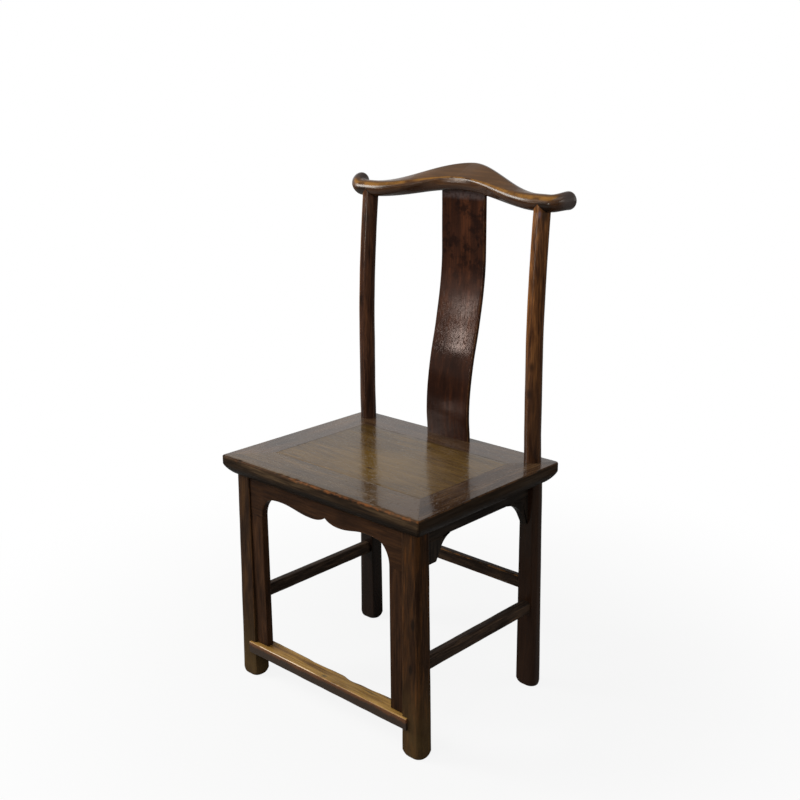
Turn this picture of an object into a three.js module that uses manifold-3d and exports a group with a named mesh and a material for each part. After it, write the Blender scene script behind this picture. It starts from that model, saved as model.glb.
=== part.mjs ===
// A wooden dining chair with a round-posted back, an S-curved splat and a mitred seat frame.
// Millimetres, +Z up, the front of the chair faces -Y. The origin is on the floor, in the middle of the plan box.
// Left and right are as seen from the front: right is +X.

import * as THREE from 'three';
import { mergeVertices } from 'three/addons/utils/BufferGeometryUtils.js';
import Module from 'manifold-3d';

const wasm = await Module();
wasm.setup();

// Overall sizes
const overallHeight = 1033;
const seatWidth = 520;
const seatDepth = 409;
const seatHeight = 481;

// Gaps between touching pieces, and how far a cutting tool runs past what it cuts
const clearance = 0.3;
const overrun = 5;

// Seat frame: four mitred members with a rounded under-edge
const frameThickness = 41;
const sideMemberWidth = 70;
const frontMemberWidth = 82;
const rearMemberWidth = 75;
const edgeRoundWidth = 22;
const edgeRoundHeight = 24;
const edgeRoundPower = 1.35;
const edgeArris = 1.5;
const seatCornerRadius = 4;
const cornerTenonWidth = 14;
const cornerTenonThickness = 10;
const cornerTenonLength = 40;
const cornerTenonFromOpening = 12;
const cornerTenonCover = 14;

// Seat panel and the battens under it
const panelThickness = 12;
const panelRecess = 0.6;
const tongueThickness = 6;
const tongueDepth = 8;
const battenSpacing = 150;
const battenWidth = 26;
const battenHeight = 17;
const battenTenon = 10;
const dovetailHeight = 4;
const dovetailWidth = 18;
const dovetailNeck = 14;

// Legs
const legInset = 54;
const legSetback = 21.5;
const frontLegWidthFoot = 42;
const frontLegWidthTop = 37.5;
const frontLegDepthFoot = 35;
const frontLegDepthTop = 32;
const frontLegOuterRadius = 9;
const frontLegBackRadius = 4;
const rearLegWidthFoot = 41.5;
const rearLegWidthTop = 38.5;
const rearLegDepthFoot = 31.5;
const rearLegDepthTop = 28.5;
const rearLegInset = 43.5;
const rearLegFrontRadius = 10;
const rearLegBackRadius = 12;
const legInnerRadius = 1.5;
const footRound = 4;
const legTenonHeight = 20;
const legTenonWidth = 20;
const legTenonDepth = 16;

// Round posts of the rear legs, above the seat
const postSideInset = 37.7;
const postBackInset = 30;
const postSeatRadius = 17.1;
const postNeckRadius = 12.5;
const postRadius = 16.3;
const postTopRadius = 16.1;
const collarHeight = 9;
const postInwardLean = 2.7;
const postWaistForward = 1.3;
const postWaistHeight = 60;
const postBendHeight = 260;
const postBendSweep = 15.3;
const postBendPower = 1.65;
const postTenonWidth = 12;
const postTenonHeight = 9;

// Crest rail: a round rail over the posts that swells to a raised pillow in the middle
const crestRadius = 16;
const crestDropAtPost = 57;
const crestSwellShort = 11.6;
const crestPillowTopRise = 48;
const crestPillowTopSweep = 71;
const crestPillowTopRadius = 9;
const crestPillowTopPower = 1.15;
const crestPointShare = 0.06;
const crestRidgeRise = 28.5;
const crestRidgeSweep = 22.5;
const crestRidgeRadius = 6;
const crestBellyRise = 20.5;
const crestBellySweep = 37;
const crestBellyRadius = 14;
const crestBellyPower = 0.6;
const crestCurlBeyondPost = 16.4;
const crestCurlRadius = 26;
const crestCurlAngle = 88;
const crestCurlRise = 10.5;
const crestTipRadius = 15.5;
const crestTipRound = 2;
const crestPegRadius = 3;
const crestPegLength = 18;

// Back splat
const splatWidth = 109;
const splatThickness = 8.5;
const splatBehindPosts = 4;
const splatWaistForward = 2.9;
const splatSweep = 48.4;
const splatWaistHeight = 49;
const splatBendEnd = 379;
const splatSeatTenon = 10;
const splatCrestTenon = 16;

// Front apron and the long spandrels beside the front legs
const boardThickness = 15;
const boardTongue = 9;
const tongueLength = 6;
const frontBoardSetback = 3;
const spandrelWidth = 33.5;
const apronCornerDrop = 77;
const apronCornerCurveWidth = 19.5;
const apronCornerCurveHeight = 41;
const apronHaunchReach = 56;
const apronBandHeight = 30.5;
const lobeReach = 37.5;
const lobeDip = 9.2;
const cuspReach = 12;
const cuspRise = 1.5;
const cuspOffset = 7;
const cornerHandleShare = 0.5;
const kneeHandleShare = 0.83;
const haunchHandleShare = 0.67;
const lobeHandleShare = 0.4;

// Side and back aprons with their brackets
const sideApronInset = 36;
const sideApronHeight = 30;
const frontBracketReach = 79;
const frontBracketDrop = 75;
const frontBracketFoot = 40;
const frontBracketKnee = 48;
const frontBracketKneeDrop = 60;
const rearBracketReach = 66;
const rearBracketDrop = 86;
const rearBracketFoot = 3.5;
const rearBracketKnee = 17;
const rearBracketKneeDrop = 61;
const bracketHandleShare = 0.33;
const backBoardSetback = 5;

// Foot rail and stretchers
const footRailTop = 79;
const footRailHeight = 24.5;
const footRailFrontProud = 7.5;
const footRailDepth = 38.5;
const footRailLap = 14;
const footRailLapThickness = 10.5;
const footRailRound = 3;
const stretcherWidth = 23;
const stretcherHeight = 26;
const stretcherRadius = 7;
const stretcherInset = 6;
const stretcherMiddle = 175.5;
const rearStretcherThickness = 14;
const rearStretcherHeight = 26;
const rearStretcherBottom = 208;
const rearStretcherSetback = 5;
const rearStretcherRound = 2;
const railTenonLength = 18;
const railTenonHeightShare = 0.62;
const railTenonWidthShare = 0.5;

// Pegs through the corner tenons of the seat frame
const seatPegRadius = 3;
const seatPegInset = 27;

// How finely the round shapes are cut
const postSides = 16;
const crestSides = 20;
const crestSteps = 12;
const curlSteps = 6;
const cornerSteps = 3;
const edgeSteps = 5;
const splatSteps = 16;
const postSteps = 8;
const curveSteps = 5;

// Places worked out from the sizes above
const seatUnderside = seatHeight - frameThickness;
const seatFront = -seatDepth / 2;
const seatBack = seatDepth / 2;
const openingX = seatWidth / 2 - sideMemberWidth;
const openingFront = seatFront + frontMemberWidth;
const openingBack = seatBack - rearMemberWidth;
const legInnerX = seatWidth / 2 - legInset;
const frontLegFrontY = seatFront + legSetback;
const frontLegBackY = frontLegFrontY + frontLegDepthTop;
const boardTop = seatUnderside - clearance;
const rearLegFrontY = seatBack - rearLegInset;
const seatPegX = seatWidth / 2 - seatPegInset;
const crestPostZ = overallHeight - crestDropAtPost;
const postSeatX = seatWidth / 2 - postSideInset;
const postSeatY = seatBack - postBackInset;
const postTopX = postSeatX - postInwardLean;
const postBendFoot = crestPostZ - postBendHeight - crestRadius;
const postTopY = postSeatY - postWaistForward + postBendSweep;
const crestPostY = postTopY;
const crestSwellX = postTopX - crestSwellShort;
const crestCurlStart = postTopX + crestCurlBeyondPost;
const splatSeatY = postSeatY + splatBehindPosts;

// Woods, darker where the chair is in shade and handled less
const legBrown = 0x4a2f20;
const seatBrown = 0x5f4630;
const panelBrown = 0x6b5038;
const backBrown = 0x4b2c1d;
const railBrown = 0x7a5a3a;
const innerBrown = 0x3d291c;

function wood(colour, roughness = 0.45) {
  return new THREE.MeshStandardMaterial({ color: colour, roughness, metalness: 0 });
}

// A closed geometry as a solid that can be joined and cut
function solid(geometry) {
  const bare = geometry.clone();
  bare.deleteAttribute('normal');
  bare.deleteAttribute('uv');
  const merged = mergeVertices(bare);
  return new wasm.Manifold(new wasm.Mesh({
    numProp: 3,
    vertProperties: new Float32Array(merged.attributes.position.array),
    triVerts: new Uint32Array(merged.index.array),
  }));
}

// A cut solid as a geometry again
function geometryOf(body) {
  const { numProp, vertProperties, triVerts } = body.getMesh();
  const positions = [];
  for (let i = 0; i < vertProperties.length; i += numProp) {
    positions.push(vertProperties[i], vertProperties[i + 1], vertProperties[i + 2]);
  }
  const geometry = new THREE.BufferGeometry();
  geometry.setAttribute('position', new THREE.Float32BufferAttribute(positions, 3));
  geometry.setIndex([...triVerts]);
  geometry.computeVertexNormals();
  return geometry;
}

function joined(first, ...others) {
  return others.reduce((whole, other) => whole.add(other), first);
}

function cut(body, ...tools) {
  return tools.reduce((rest, tool) => rest.subtract(tool), body);
}

// The same geometry on the other side of the chair, with its faces still pointing out
function mirrored(geometry) {
  const copy = geometry.clone().scale(-1, 1, 1);
  const index = copy.index.array;
  for (let i = 0; i < index.length; i += 3) {
    [index[i + 1], index[i + 2]] = [index[i + 2], index[i + 1]];
  }
  copy.computeVertexNormals();
  return copy;
}

function mesh(name, geometry, material) {
  const result = new THREE.Mesh(geometry, material);
  result.name = name;
  return result;
}

// One piece on the right, and its mirror image on the left
function pair(name, body, colour) {
  const right = geometryOf(body);
  return [
    mesh(`${name}_right`, right, wood(colour)),
    mesh(`${name}_left`, mirrored(right), wood(colour)),
  ];
}

// A box between two places on each axis
function block(x, y, z) {
  const geometry = new THREE.BoxGeometry(x[1] - x[0], y[1] - y[0], z[1] - z[0]);
  geometry.translate((x[0] + x[1]) / 2, (y[0] + y[1]) / 2, (z[0] + z[1]) / 2);
  return solid(geometry);
}

// Prisms: an outline in one plane, run between two places on the third axis
function prism(shape, from, to, basis, sense) {
  const geometry = new THREE.ExtrudeGeometry(shape, {
    depth: to - from, bevelEnabled: false, curveSegments: curveSteps,
  });
  geometry.applyMatrix4(new THREE.Matrix4().makeBasis(...basis));
  geometry.translate(...basis[2].clone().multiplyScalar(sense > 0 ? from : -to).toArray());
  return solid(geometry);
}

const axisX = new THREE.Vector3(1, 0, 0);
const axisY = new THREE.Vector3(0, 1, 0);
const axisZ = new THREE.Vector3(0, 0, 1);
const prismX = (shape, from, to) => prism(shape, from, to, [axisY, axisZ, axisX], 1);
const prismY = (shape, from, to) => prism(shape, from, to, [axisX, axisZ, axisY.clone().negate()], -1);
const prismZ = (shape, from, to) => prism(shape, from, to, [axisX, axisY, axisZ], 1);

function outline(...points) {
  return new THREE.Shape(points.map(([a, b]) => new THREE.Vector2(a, b)));
}

// A rectangle with its own radius at each corner: low-low, high-low, high-high, low-high
function roundedRectangle(a, b, radii) {
  const centres = [
    [a[0] + radii[0], b[0] + radii[0]],
    [a[1] - radii[1], b[0] + radii[1]],
    [a[1] - radii[2], b[1] - radii[2]],
    [a[0] + radii[3], b[1] - radii[3]],
  ];
  return centres.flatMap(([u, v], corner) => {
    const points = [];
    for (let step = 0; step <= cornerSteps; step++) {
      const angle = Math.PI + (corner + step / cornerSteps) * Math.PI / 2;
      points.push([u + radii[corner] * Math.cos(angle), v + radii[corner] * Math.sin(angle)]);
    }
    return points;
  });
}

// A skin over a row of rings that all have the same number of points, closed by flat ends
function loft(rings) {
  const count = rings[0].length;
  const index = [];
  for (let ring = 0; ring + 1 < rings.length; ring++) {
    for (let k = 0; k < count; k++) {
      const a = ring * count + k;
      const b = ring * count + (k + 1) % count;
      index.push(a, b, b + count, a, b + count, a + count);
    }
  }
  const last = (rings.length - 1) * count;
  for (let k = 1; k + 1 < count; k++) {
    index.push(0, k + 1, k, last, last + k, last + k + 1);
  }
  const geometry = new THREE.BufferGeometry();
  geometry.setAttribute('position', new THREE.Float32BufferAttribute(rings.flat(2), 3));
  geometry.setIndex(index);
  return solid(geometry);
}

const level = (points, z) => points.map(([x, y]) => [x, y, z]);

function circle(x, y, radius, sides) {
  return Array.from({ length: sides }, (_, k) => {
    const angle = 2 * Math.PI * k / sides;
    return [x + radius * Math.cos(angle), y + radius * Math.sin(angle)];
  });
}

const mix = (from, to, share) => from + (to - from) * share;
const ease = (share) => (1 - Math.cos(Math.PI * Math.min(1, Math.max(0, share)))) / 2;

// The whole seat as one board with its rounded under-edge, before it is divided into members
function seatBoard(drop = 0) {
  const rings = [];
  const ring = (inset, z) => rings.push(level(roundedRectangle(
    [-seatWidth / 2 + inset, seatWidth / 2 - inset],
    [seatFront + inset, seatBack - inset],
    Array(4).fill(seatCornerRadius),
  ), z - drop));
  for (let step = 0; step <= edgeSteps; step++) {
    const angle = step / edgeSteps * Math.PI / 2;
    const inset = edgeRoundWidth * (1 - Math.sin(angle) ** (2 / edgeRoundPower));
    const rise = edgeRoundHeight * (1 - Math.max(0, Math.cos(angle)) ** (2 / edgeRoundPower));
    ring(inset, seatUnderside + rise);
  }
  ring(0, seatHeight - edgeArris);
  ring(edgeArris, seatHeight);
  return loft(rings);
}

// Where the post's centre is at a height above the floor
function postCentre(z) {
  const up = (z - seatHeight) / (crestPostZ - seatHeight);
  const bend = Math.max(0, (z - postBendFoot) / (crestPostZ - crestRadius - postBendFoot));
  const waist = postWaistForward * ease((z - seatHeight) / postWaistHeight);
  return [
    mix(postSeatX, postTopX, up),
    postSeatY - waist + postBendSweep * bend ** postBendPower,
  ];
}

// Leg tenons, the corner tenons of the frame and the post, each also made larger as its own mortise
function frontLegTenon(gap = 0) {
  const x = legInnerX + frontLegWidthTop / 2;
  const y = frontLegFrontY + frontLegDepthTop / 2;
  return block(
    [x - legTenonWidth / 2 - gap, x + legTenonWidth / 2 + gap],
    [y - legTenonDepth / 2 - gap, y + legTenonDepth / 2 + gap],
    [seatUnderside - overrun, seatUnderside + legTenonHeight + gap],
  );
}

const cornerTenonTop = seatHeight - cornerTenonCover;

function cornerTenon(back, gap = 0) {
  const edge = back ? openingBack + cornerTenonFromOpening : openingFront - cornerTenonFromOpening;
  const far = back ? edge + cornerTenonWidth : edge - cornerTenonWidth;
  return block(
    [openingX, openingX + tongueDepth + cornerTenonLength + gap],
    [Math.min(edge, far) - gap, Math.max(edge, far) + gap],
    [cornerTenonTop - cornerTenonThickness - gap, cornerTenonTop + gap],
  );
}

function cornerTenonMiddle(back) {
  const reach = cornerTenonFromOpening + cornerTenonWidth / 2;
  return back ? openingBack + reach : openingFront - reach;
}

function postHole() {
  return loft([seatUnderside - overrun, seatHeight + overrun].map((z) => level(
    circle(...postCentre(seatHeight), postSeatRadius + clearance, postSides), z,
  )));
}

function seatPeg(back, gap = 0) {
  return loft([
    seatUnderside - (gap ? overrun : 0),
    cornerTenonTop + clearance + gap,
  ].map((z) => level(circle(seatPegX, cornerTenonMiddle(back), seatPegRadius + gap, postSides / 2), z)));
}

// The mirrored copy of a tool that cuts a piece reaching over both sides
const otherSide = (body) => solid(mirrored(geometryOf(body)));
const bothSides = (body) => joined(body, otherSide(body));

// Battens: dovetailed into the panel, tenoned into the front and rear members
const panelTop = seatHeight - panelRecess;
const panelUnderside = panelTop - panelThickness;
const battenTop = panelUnderside - clearance;

function batten(gap = 0) {
  const x = battenSpacing / 2;
  const neck = dovetailNeck / 2 + gap;
  const head = dovetailWidth / 2 + gap;
  const top = panelUnderside + dovetailHeight - clearance + gap;
  const rib = outline(
    [x - neck, battenTop - overrun], [x + neck, battenTop - overrun], [x + neck, battenTop],
    [x + head, top], [x - head, top], [x - neck, battenTop],
  );
  return joined(
    block(
      [x - battenWidth / 2, x + battenWidth / 2],
      [openingFront + clearance, openingBack - clearance],
      [battenTop - battenHeight, battenTop],
    ),
    prismY(rib, openingFront + clearance - gap, openingBack - clearance + gap),
    battenTenons(),
  );
}

function battenTenons(gap = 0) {
  const x = battenSpacing / 2;
  const middle = battenTop - battenHeight / 2;
  return block(
    [x - battenWidth / 4 - gap, x + battenWidth / 4 + gap],
    [openingFront - battenTenon - gap, openingBack + battenTenon + gap],
    [middle - battenHeight / 4 - gap, middle + battenHeight / 4 + gap],
  );
}

// The board in the middle of the seat, with a tongue all round
function seatPanel() {
  const body = block(
    [-openingX + clearance, openingX - clearance],
    [openingFront + clearance, openingBack - clearance],
    [panelUnderside, panelTop],
  );
  const reach = tongueDepth - clearance;
  const tongue = block(
    [-openingX - reach, openingX + reach],
    [openingFront - reach, openingBack + reach],
    [panelUnderside, panelUnderside + tongueThickness],
  );
  const slots = bothSides(batten(clearance));
  return cut(joined(body, tongue), slots);
}

function panelGroove() {
  return block(
    [-openingX - tongueDepth, openingX + tongueDepth],
    [openingFront - tongueDepth, openingBack + tongueDepth],
    [panelUnderside - clearance, panelUnderside + tongueThickness + clearance],
  );
}

// How far a mitred end moves along Y so that the joint keeps its clearance
function mitreShift(memberWidth) {
  return clearance * Math.hypot(sideMemberWidth, memberWidth) / sideMemberWidth;
}

// A front or rear member of the seat frame, with tenons that run into the side members
function longMember(back) {
  const outer = back ? seatBack + overrun : seatFront - overrun;
  const edge = back ? seatBack : seatFront;
  const inner = back ? openingBack : openingFront;
  const grow = overrun * sideMemberWidth / Math.abs(edge - inner);
  const plan = outline(
    [-seatWidth / 2 - grow, outer], [seatWidth / 2 + grow, outer], [openingX, inner], [-openingX, inner],
  );
  const member = prismZ(plan, seatUnderside - overrun, seatHeight + overrun).intersect(seatBoard());
  const tenonedMember = joined(member, bothSides(cornerTenon(back)));
  const tools = [
    panelGroove(),
    bothSides(battenTenons(clearance)),
    bothSides(seatPeg(back, clearance)),
    bothSides(back ? postHole() : frontLegTenon(clearance)),
  ];
  if (back) tools.push(splatHousing(seatHeight - splatSeatTenon - clearance, seatHeight + overrun));
  return cut(tenonedMember, ...tools);
}

// A side member of the seat frame, mortised for the tenons of the front and rear members
function sideMember() {
  const frontShift = mitreShift(frontMemberWidth);
  const backShift = mitreShift(rearMemberWidth);
  const growFront = overrun * frontMemberWidth / sideMemberWidth;
  const growBack = overrun * rearMemberWidth / sideMemberWidth;
  const outerX = seatWidth / 2 + overrun;
  const plan = outline(
    [openingX, openingFront + frontShift], [outerX, seatFront - growFront + frontShift],
    [outerX, seatBack + growBack - backShift], [openingX, openingBack - backShift],
  );
  const member = prismZ(plan, seatUnderside - overrun, seatHeight + overrun).intersect(seatBoard());
  return cut(
    member, panelGroove(), postHole(), frontLegTenon(clearance),
    cornerTenon(false, clearance), cornerTenon(true, clearance),
    seatPeg(false, clearance), seatPeg(true, clearance),
  );
}

// A leg ring between an inner and an outer face, drawn in at the very foot
function legRing(width, depth, frontY, backY, z, inset, radii) {
  const front = backY === null ? frontY : backY - depth;
  const back = backY === null ? frontY + depth : backY;
  return level(roundedRectangle(
    [legInnerX + inset, legInnerX + width - inset], [front + inset, back - inset], radii,
  ), z);
}

// Tongue grooves for the boards that stand beside a leg
function frontBoardTongue(bottom, top, gap = 0) {
  const middle = frontLegFrontY + frontBoardSetback + boardThickness / 2;
  return block(
    [legInnerX - overrun, legInnerX + tongueLength + gap],
    [middle - boardTongue / 2 - gap, middle + boardTongue / 2 + gap],
    [bottom, top],
  );
}

const sideBoardOuter = seatWidth / 2 - sideApronInset;
const sideBoardInner = sideBoardOuter - boardThickness;

function sideBoardTongues(bottom, top, gap = 0) {
  const middle = sideBoardOuter - boardThickness / 2;
  return block(
    [middle - boardTongue / 2 - gap, middle + boardTongue / 2 + gap],
    [frontLegBackY - tongueLength - gap, rearLegFrontY + tongueLength + gap],
    [bottom, top],
  );
}

const backBoardFront = rearLegFrontY + backBoardSetback;

function backBoardTongue(bottom, top, gap = 0) {
  const middle = backBoardFront + boardThickness / 2;
  return block(
    [legInnerX - overrun, legInnerX + tongueLength + gap],
    [middle - boardTongue / 2 - gap, middle + boardTongue / 2 + gap],
    [bottom, top],
  );
}

const grooveTop = seatUnderside + overrun;

// Front foot rail: a broad worn tread, lapped over the fronts of the legs and tenoned into them
const footRailFrontY = frontLegFrontY - footRailFrontProud;
const footRailBottom = footRailTop - footRailHeight;

function footRailLaps(gap = 0) {
  const bottom = footRailBottom - gap;
  const top = footRailTop + gap;
  return block(
    [legInnerX - overrun, legInnerX + footRailLap + gap],
    [footRailFrontY - (gap ? overrun : 0), footRailFrontY + footRailLapThickness + gap],
    [bottom, top],
  );
}

function footRailTenon(gap = 0) {
  const middle = footRailFrontY + footRailLapThickness + (footRailDepth - footRailLapThickness) / 2;
  const half = footRailHeight * railTenonHeightShare / 2 + gap;
  const width = (footRailDepth - footRailLapThickness) * railTenonWidthShare / 2 + gap;
  const z = (footRailTop + footRailBottom) / 2;
  return block(
    [legInnerX - overrun, legInnerX + railTenonLength + gap],
    [middle - width, middle + width],
    [z - half, z + half],
  );
}

function footRail() {
  const section = new THREE.Shape(roundedRectangle(
    [footRailFrontY, footRailFrontY + footRailDepth], [footRailBottom, footRailTop],
    Array(4).fill(footRailRound),
  ).map(([y, z]) => new THREE.Vector2(y, z)));
  const tread = prismX(section, -legInnerX + clearance, legInnerX - clearance);
  const lap = prismX(section, legInnerX - overrun, legInnerX + footRailLap);
  return joined(
    tread,
    bothSides(lap.intersect(footRailLaps())),
    bothSides(footRailTenon()),
  );
}

// Side and rear stretchers with stub tenons into the legs
const sideStretcherX = legInnerX + stretcherInset;

function sideStretcherTenons(gap = 0) {
  const x = sideStretcherX + stretcherWidth / 2;
  const half = stretcherWidth * railTenonWidthShare / 2 + gap;
  const height = stretcherHeight * railTenonHeightShare / 2 + gap;
  return block(
    [x - half, x + half],
    [frontLegBackY - railTenonLength - gap, rearLegFrontY + railTenonLength + gap],
    [stretcherMiddle - height, stretcherMiddle + height],
  );
}

function sideStretcher() {
  const section = roundedRectangle(
    [sideStretcherX, sideStretcherX + stretcherWidth],
    [stretcherMiddle - stretcherHeight / 2, stretcherMiddle + stretcherHeight / 2],
    Array(4).fill(stretcherRadius),
  );
  const rail = prismY(outline(...section), frontLegBackY + clearance, rearLegFrontY - clearance);
  return joined(rail, sideStretcherTenons());
}

const rearStretcherY = rearLegFrontY + rearStretcherSetback;
const rearStretcherTop = rearStretcherBottom + rearStretcherHeight;

function rearStretcherTenons(gap = 0) {
  const y = rearStretcherY + rearStretcherThickness / 2;
  const z = rearStretcherBottom + rearStretcherHeight / 2;
  const half = rearStretcherThickness * railTenonWidthShare / 2 + gap;
  const height = rearStretcherHeight * railTenonHeightShare / 2 + gap;
  return block(
    [-legInnerX - railTenonLength - gap, legInnerX + railTenonLength + gap],
    [y - half, y + half],
    [z - height, z + height],
  );
}

function rearStretcher() {
  const section = roundedRectangle(
    [rearStretcherY, rearStretcherY + rearStretcherThickness], [rearStretcherBottom, rearStretcherTop],
    Array(4).fill(rearStretcherRound),
  );
  const rail = prismX(outline(...section), -legInnerX + clearance, legInnerX - clearance);
  return joined(rail, rearStretcherTenons());
}

function frontLeg() {
  const radii = [legInnerRadius, frontLegOuterRadius, frontLegBackRadius, legInnerRadius];
  const at = (share) => [
    mix(frontLegWidthFoot, frontLegWidthTop, share),
    mix(frontLegDepthFoot, frontLegDepthTop, share),
  ];
  const ring = (z, inset) => legRing(
    ...at(z / seatUnderside), null, frontLegBackY, z, inset, radii,
  );
  const bar = loft([
    ring(0, footRound), ring(footRound / 2, footRound / 4), ring(footRound * 2, 0),
    ring(seatUnderside + frontLegOuterRadius, 0),
  ]);
  return cut(
    joined(cut(bar, seatBoard(clearance)), frontLegTenon()),
    frontBoardTongue(footRailTop, grooveTop, clearance),
    sideBoardTongues(seatUnderside - frontBracketDrop - clearance, grooveTop, clearance),
    footRailLaps(clearance), footRailTenon(clearance), sideStretcherTenons(clearance),
  );
}

// The top of a post, cut to a ridge that is let into the crest rail, with a square tenon above
function postHead(gap = 0) {
  const [x, y] = postCentre(crestPostZ - crestRadius);
  const radius = postTopRadius + gap;
  const base = crestPostZ - crestRadius - overrun * 2;
  const round = loft([base, crestPostZ + crestRadius].map((z) => level(circle(x, y, radius, postSides), z)));
  const ridge = outline(
    [x - radius - overrun, base], [x + radius + overrun, base],
    [x + radius + overrun, crestPostZ - crestRadius - overrun + gap],
    [x, crestPostZ + gap], [x - radius - overrun, crestPostZ - crestRadius - overrun + gap],
  );
  const half = postTenonWidth / 2 + gap;
  return joined(
    round.intersect(prismY(ridge, y - radius - overrun, y + radius + overrun)),
    block([x - half, x + half], [y - half, y + half], [base, crestPostZ + postTenonHeight + gap]),
  );
}

function crestPeg(gap = 0) {
  const [x, y] = postCentre(crestPostZ - crestRadius);
  const z = crestPostZ + crestPegRadius;
  const ends = [y + crestRadius - clearance + (gap ? overrun : 0), y + crestRadius - crestPegLength - gap];
  return loft(ends.map((at) => circle(x, z, crestPegRadius + gap, postSides / 2).map(([u, v]) => [u, at, v])));
}

function rearLeg() {
  const radii = [legInnerRadius, rearLegFrontRadius, rearLegBackRadius, legInnerRadius];
  const at = (share) => [
    mix(rearLegWidthFoot, rearLegWidthTop, share),
    mix(rearLegDepthFoot, rearLegDepthTop, share),
  ];
  const ring = (z, inset) => legRing(
    ...at(z / seatUnderside), rearLegFrontY, null, z, inset, radii,
  );
  const bar = loft([
    ring(0, footRound), ring(footRound / 2, footRound / 4), ring(footRound * 2, 0),
    ring(seatUnderside + rearLegBackRadius, 0),
  ]);
  const shoulder = seatUnderside - clearance;
  const rings = [
    level(circle(...postCentre(seatHeight), postNeckRadius, postSides), shoulder - overrun),
    level(circle(...postCentre(seatHeight), postNeckRadius, postSides), shoulder),
    level(circle(...postCentre(seatHeight), postSeatRadius, postSides), shoulder + overrun),
    level(circle(...postCentre(seatHeight), postSeatRadius, postSides), seatHeight + clearance),
  ];
  const collarTop = seatHeight + collarHeight;
  const headFoot = crestPostZ - crestRadius - overrun;
  for (let step = 0; step <= postSteps; step++) {
    const share = step / postSteps;
    const z = mix(collarTop, headFoot, share);
    rings.push(level(circle(...postCentre(z), mix(postRadius, postTopRadius, share), postSides), z));
  }
  return cut(
    joined(cut(bar, seatBoard(clearance)), loft(rings), postHead()),
    backBoardTongue(seatUnderside - rearBracketDrop - clearance, grooveTop, clearance),
    sideBoardTongues(seatUnderside - rearBracketDrop - clearance, grooveTop, clearance),
    sideStretcherTenons(clearance), rearStretcherTenons(clearance), crestPeg(clearance),
  );
}

// The splat's front face: a little forward at the waist, then swept back to meet the crest
function splatFront(z) {
  const waist = splatWaistForward * ease((z - seatHeight) / splatWaistHeight);
  const sweep = splatSweep * ease((z - seatHeight - splatWaistHeight) / (splatBendEnd - splatWaistHeight));
  return splatSeatY - waist + sweep;
}

const crestUnderside = crestPostZ + crestBellyRise - crestBellyRadius;

function splatHousing(bottom, top) {
  const y = splatFront((bottom + top) / 2);
  return block(
    [-splatWidth / 2 - clearance, splatWidth / 2 + clearance],
    [y - clearance, y + splatThickness + clearance],
    [bottom, top],
  );
}

function splat() {
  const levels = [seatHeight - splatSeatTenon];
  for (let step = 0; step <= splatSteps; step++) {
    levels.push(mix(seatHeight, crestUnderside, step / splatSteps));
  }
  levels.push(crestUnderside + splatCrestTenon);
  const faces = { front: [], back: [] };
  for (const z of levels) {
    faces.front.push([splatFront(z), z]);
    faces.back.unshift([splatFront(z) + splatThickness, z]);
  }
  return prismX(outline(...faces.front, ...faces.back), -splatWidth / 2, splatWidth / 2);
}

// A crest section is a band drawn tight round three round cores: the belly, the front ridge and the top edge
function crestSection(share) {
  const full = ease(1 - share);
  const blunt = (along) => Math.hypot(along, crestPointShare) - crestPointShare;
  const taper = blunt(share) / blunt(1);
  const core = (sweep, rise, radius, swept) => ({
    across: crestPostY + sweep * swept,
    up: crestPostZ + rise * full,
    radius: mix(crestRadius, radius, full),
  });
  const cores = [
    core(crestBellySweep, crestBellyRise, crestBellyRadius, full ** crestBellyPower),
    core(crestRidgeSweep, crestRidgeRise, crestRidgeRadius, full),
    core(crestPillowTopSweep, crestPillowTopRise, crestPillowTopRadius, (1 - taper) ** crestPillowTopPower),
  ];
  return Array.from({ length: crestSides }, (_, k) => {
    const angle = 2 * Math.PI * k / crestSides;
    const [across, up] = [Math.cos(angle), Math.sin(angle)];
    const reach = (one) => one.across * across + one.up * up + one.radius;
    const outer = cores.reduce((best, one) => (reach(one) > reach(best) ? one : best));
    return [outer.across + outer.radius * across, outer.up + outer.radius * up];
  });
}

// Rings of the right half of the crest rail, from its middle out to the curled tip
function crestRings() {
  const rings = [];
  for (let step = 0; step <= crestSteps; step++) {
    const x = crestSwellX * step / crestSteps;
    rings.push(crestSection(step / crestSteps).map(([y, z]) => [x, y, z]));
  }
  const centreY = crestPostY + crestCurlRadius;
  for (let step = 0; step <= curlSteps + 1; step++) {
    const share = Math.min(1, step / curlSteps);
    const beyond = step > curlSteps ? crestTipRound : 0;
    const angle = THREE.MathUtils.degToRad(crestCurlAngle) * share;
    const radius = mix(crestRadius, crestTipRadius, share) - beyond;
    const x = crestCurlStart + crestCurlRadius * Math.sin(angle) + beyond * Math.cos(angle);
    const y = centreY - crestCurlRadius * Math.cos(angle) + beyond * Math.sin(angle);
    const z = crestPostZ + crestCurlRise * ease(share);
    rings.push(circle(0, 0, radius, crestSides).map(([across, up]) => [
      x - across * Math.sin(angle), y + across * Math.cos(angle), z + up,
    ]));
  }
  return rings;
}

function crestRail() {
  const right = crestRings();
  const left = right.slice(1).reverse().map((ring) => ring.map(([x, y, z]) => [-x, y, z]));
  return cut(
    loft([...left, ...right]),
    bothSides(postHead(clearance)),
    bothSides(crestPeg(clearance)),
    splatHousing(crestUnderside - overrun, crestUnderside + splatCrestTenon + clearance),
  );
}

// The lower edge of the front apron: two corners, two shallow lobes and the cusp between them
const apronCornerZ = boardTop - apronCornerDrop;
const apronBand = boardTop - apronBandHeight;
const spandrelEdge = legInnerX - spandrelWidth;

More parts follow.
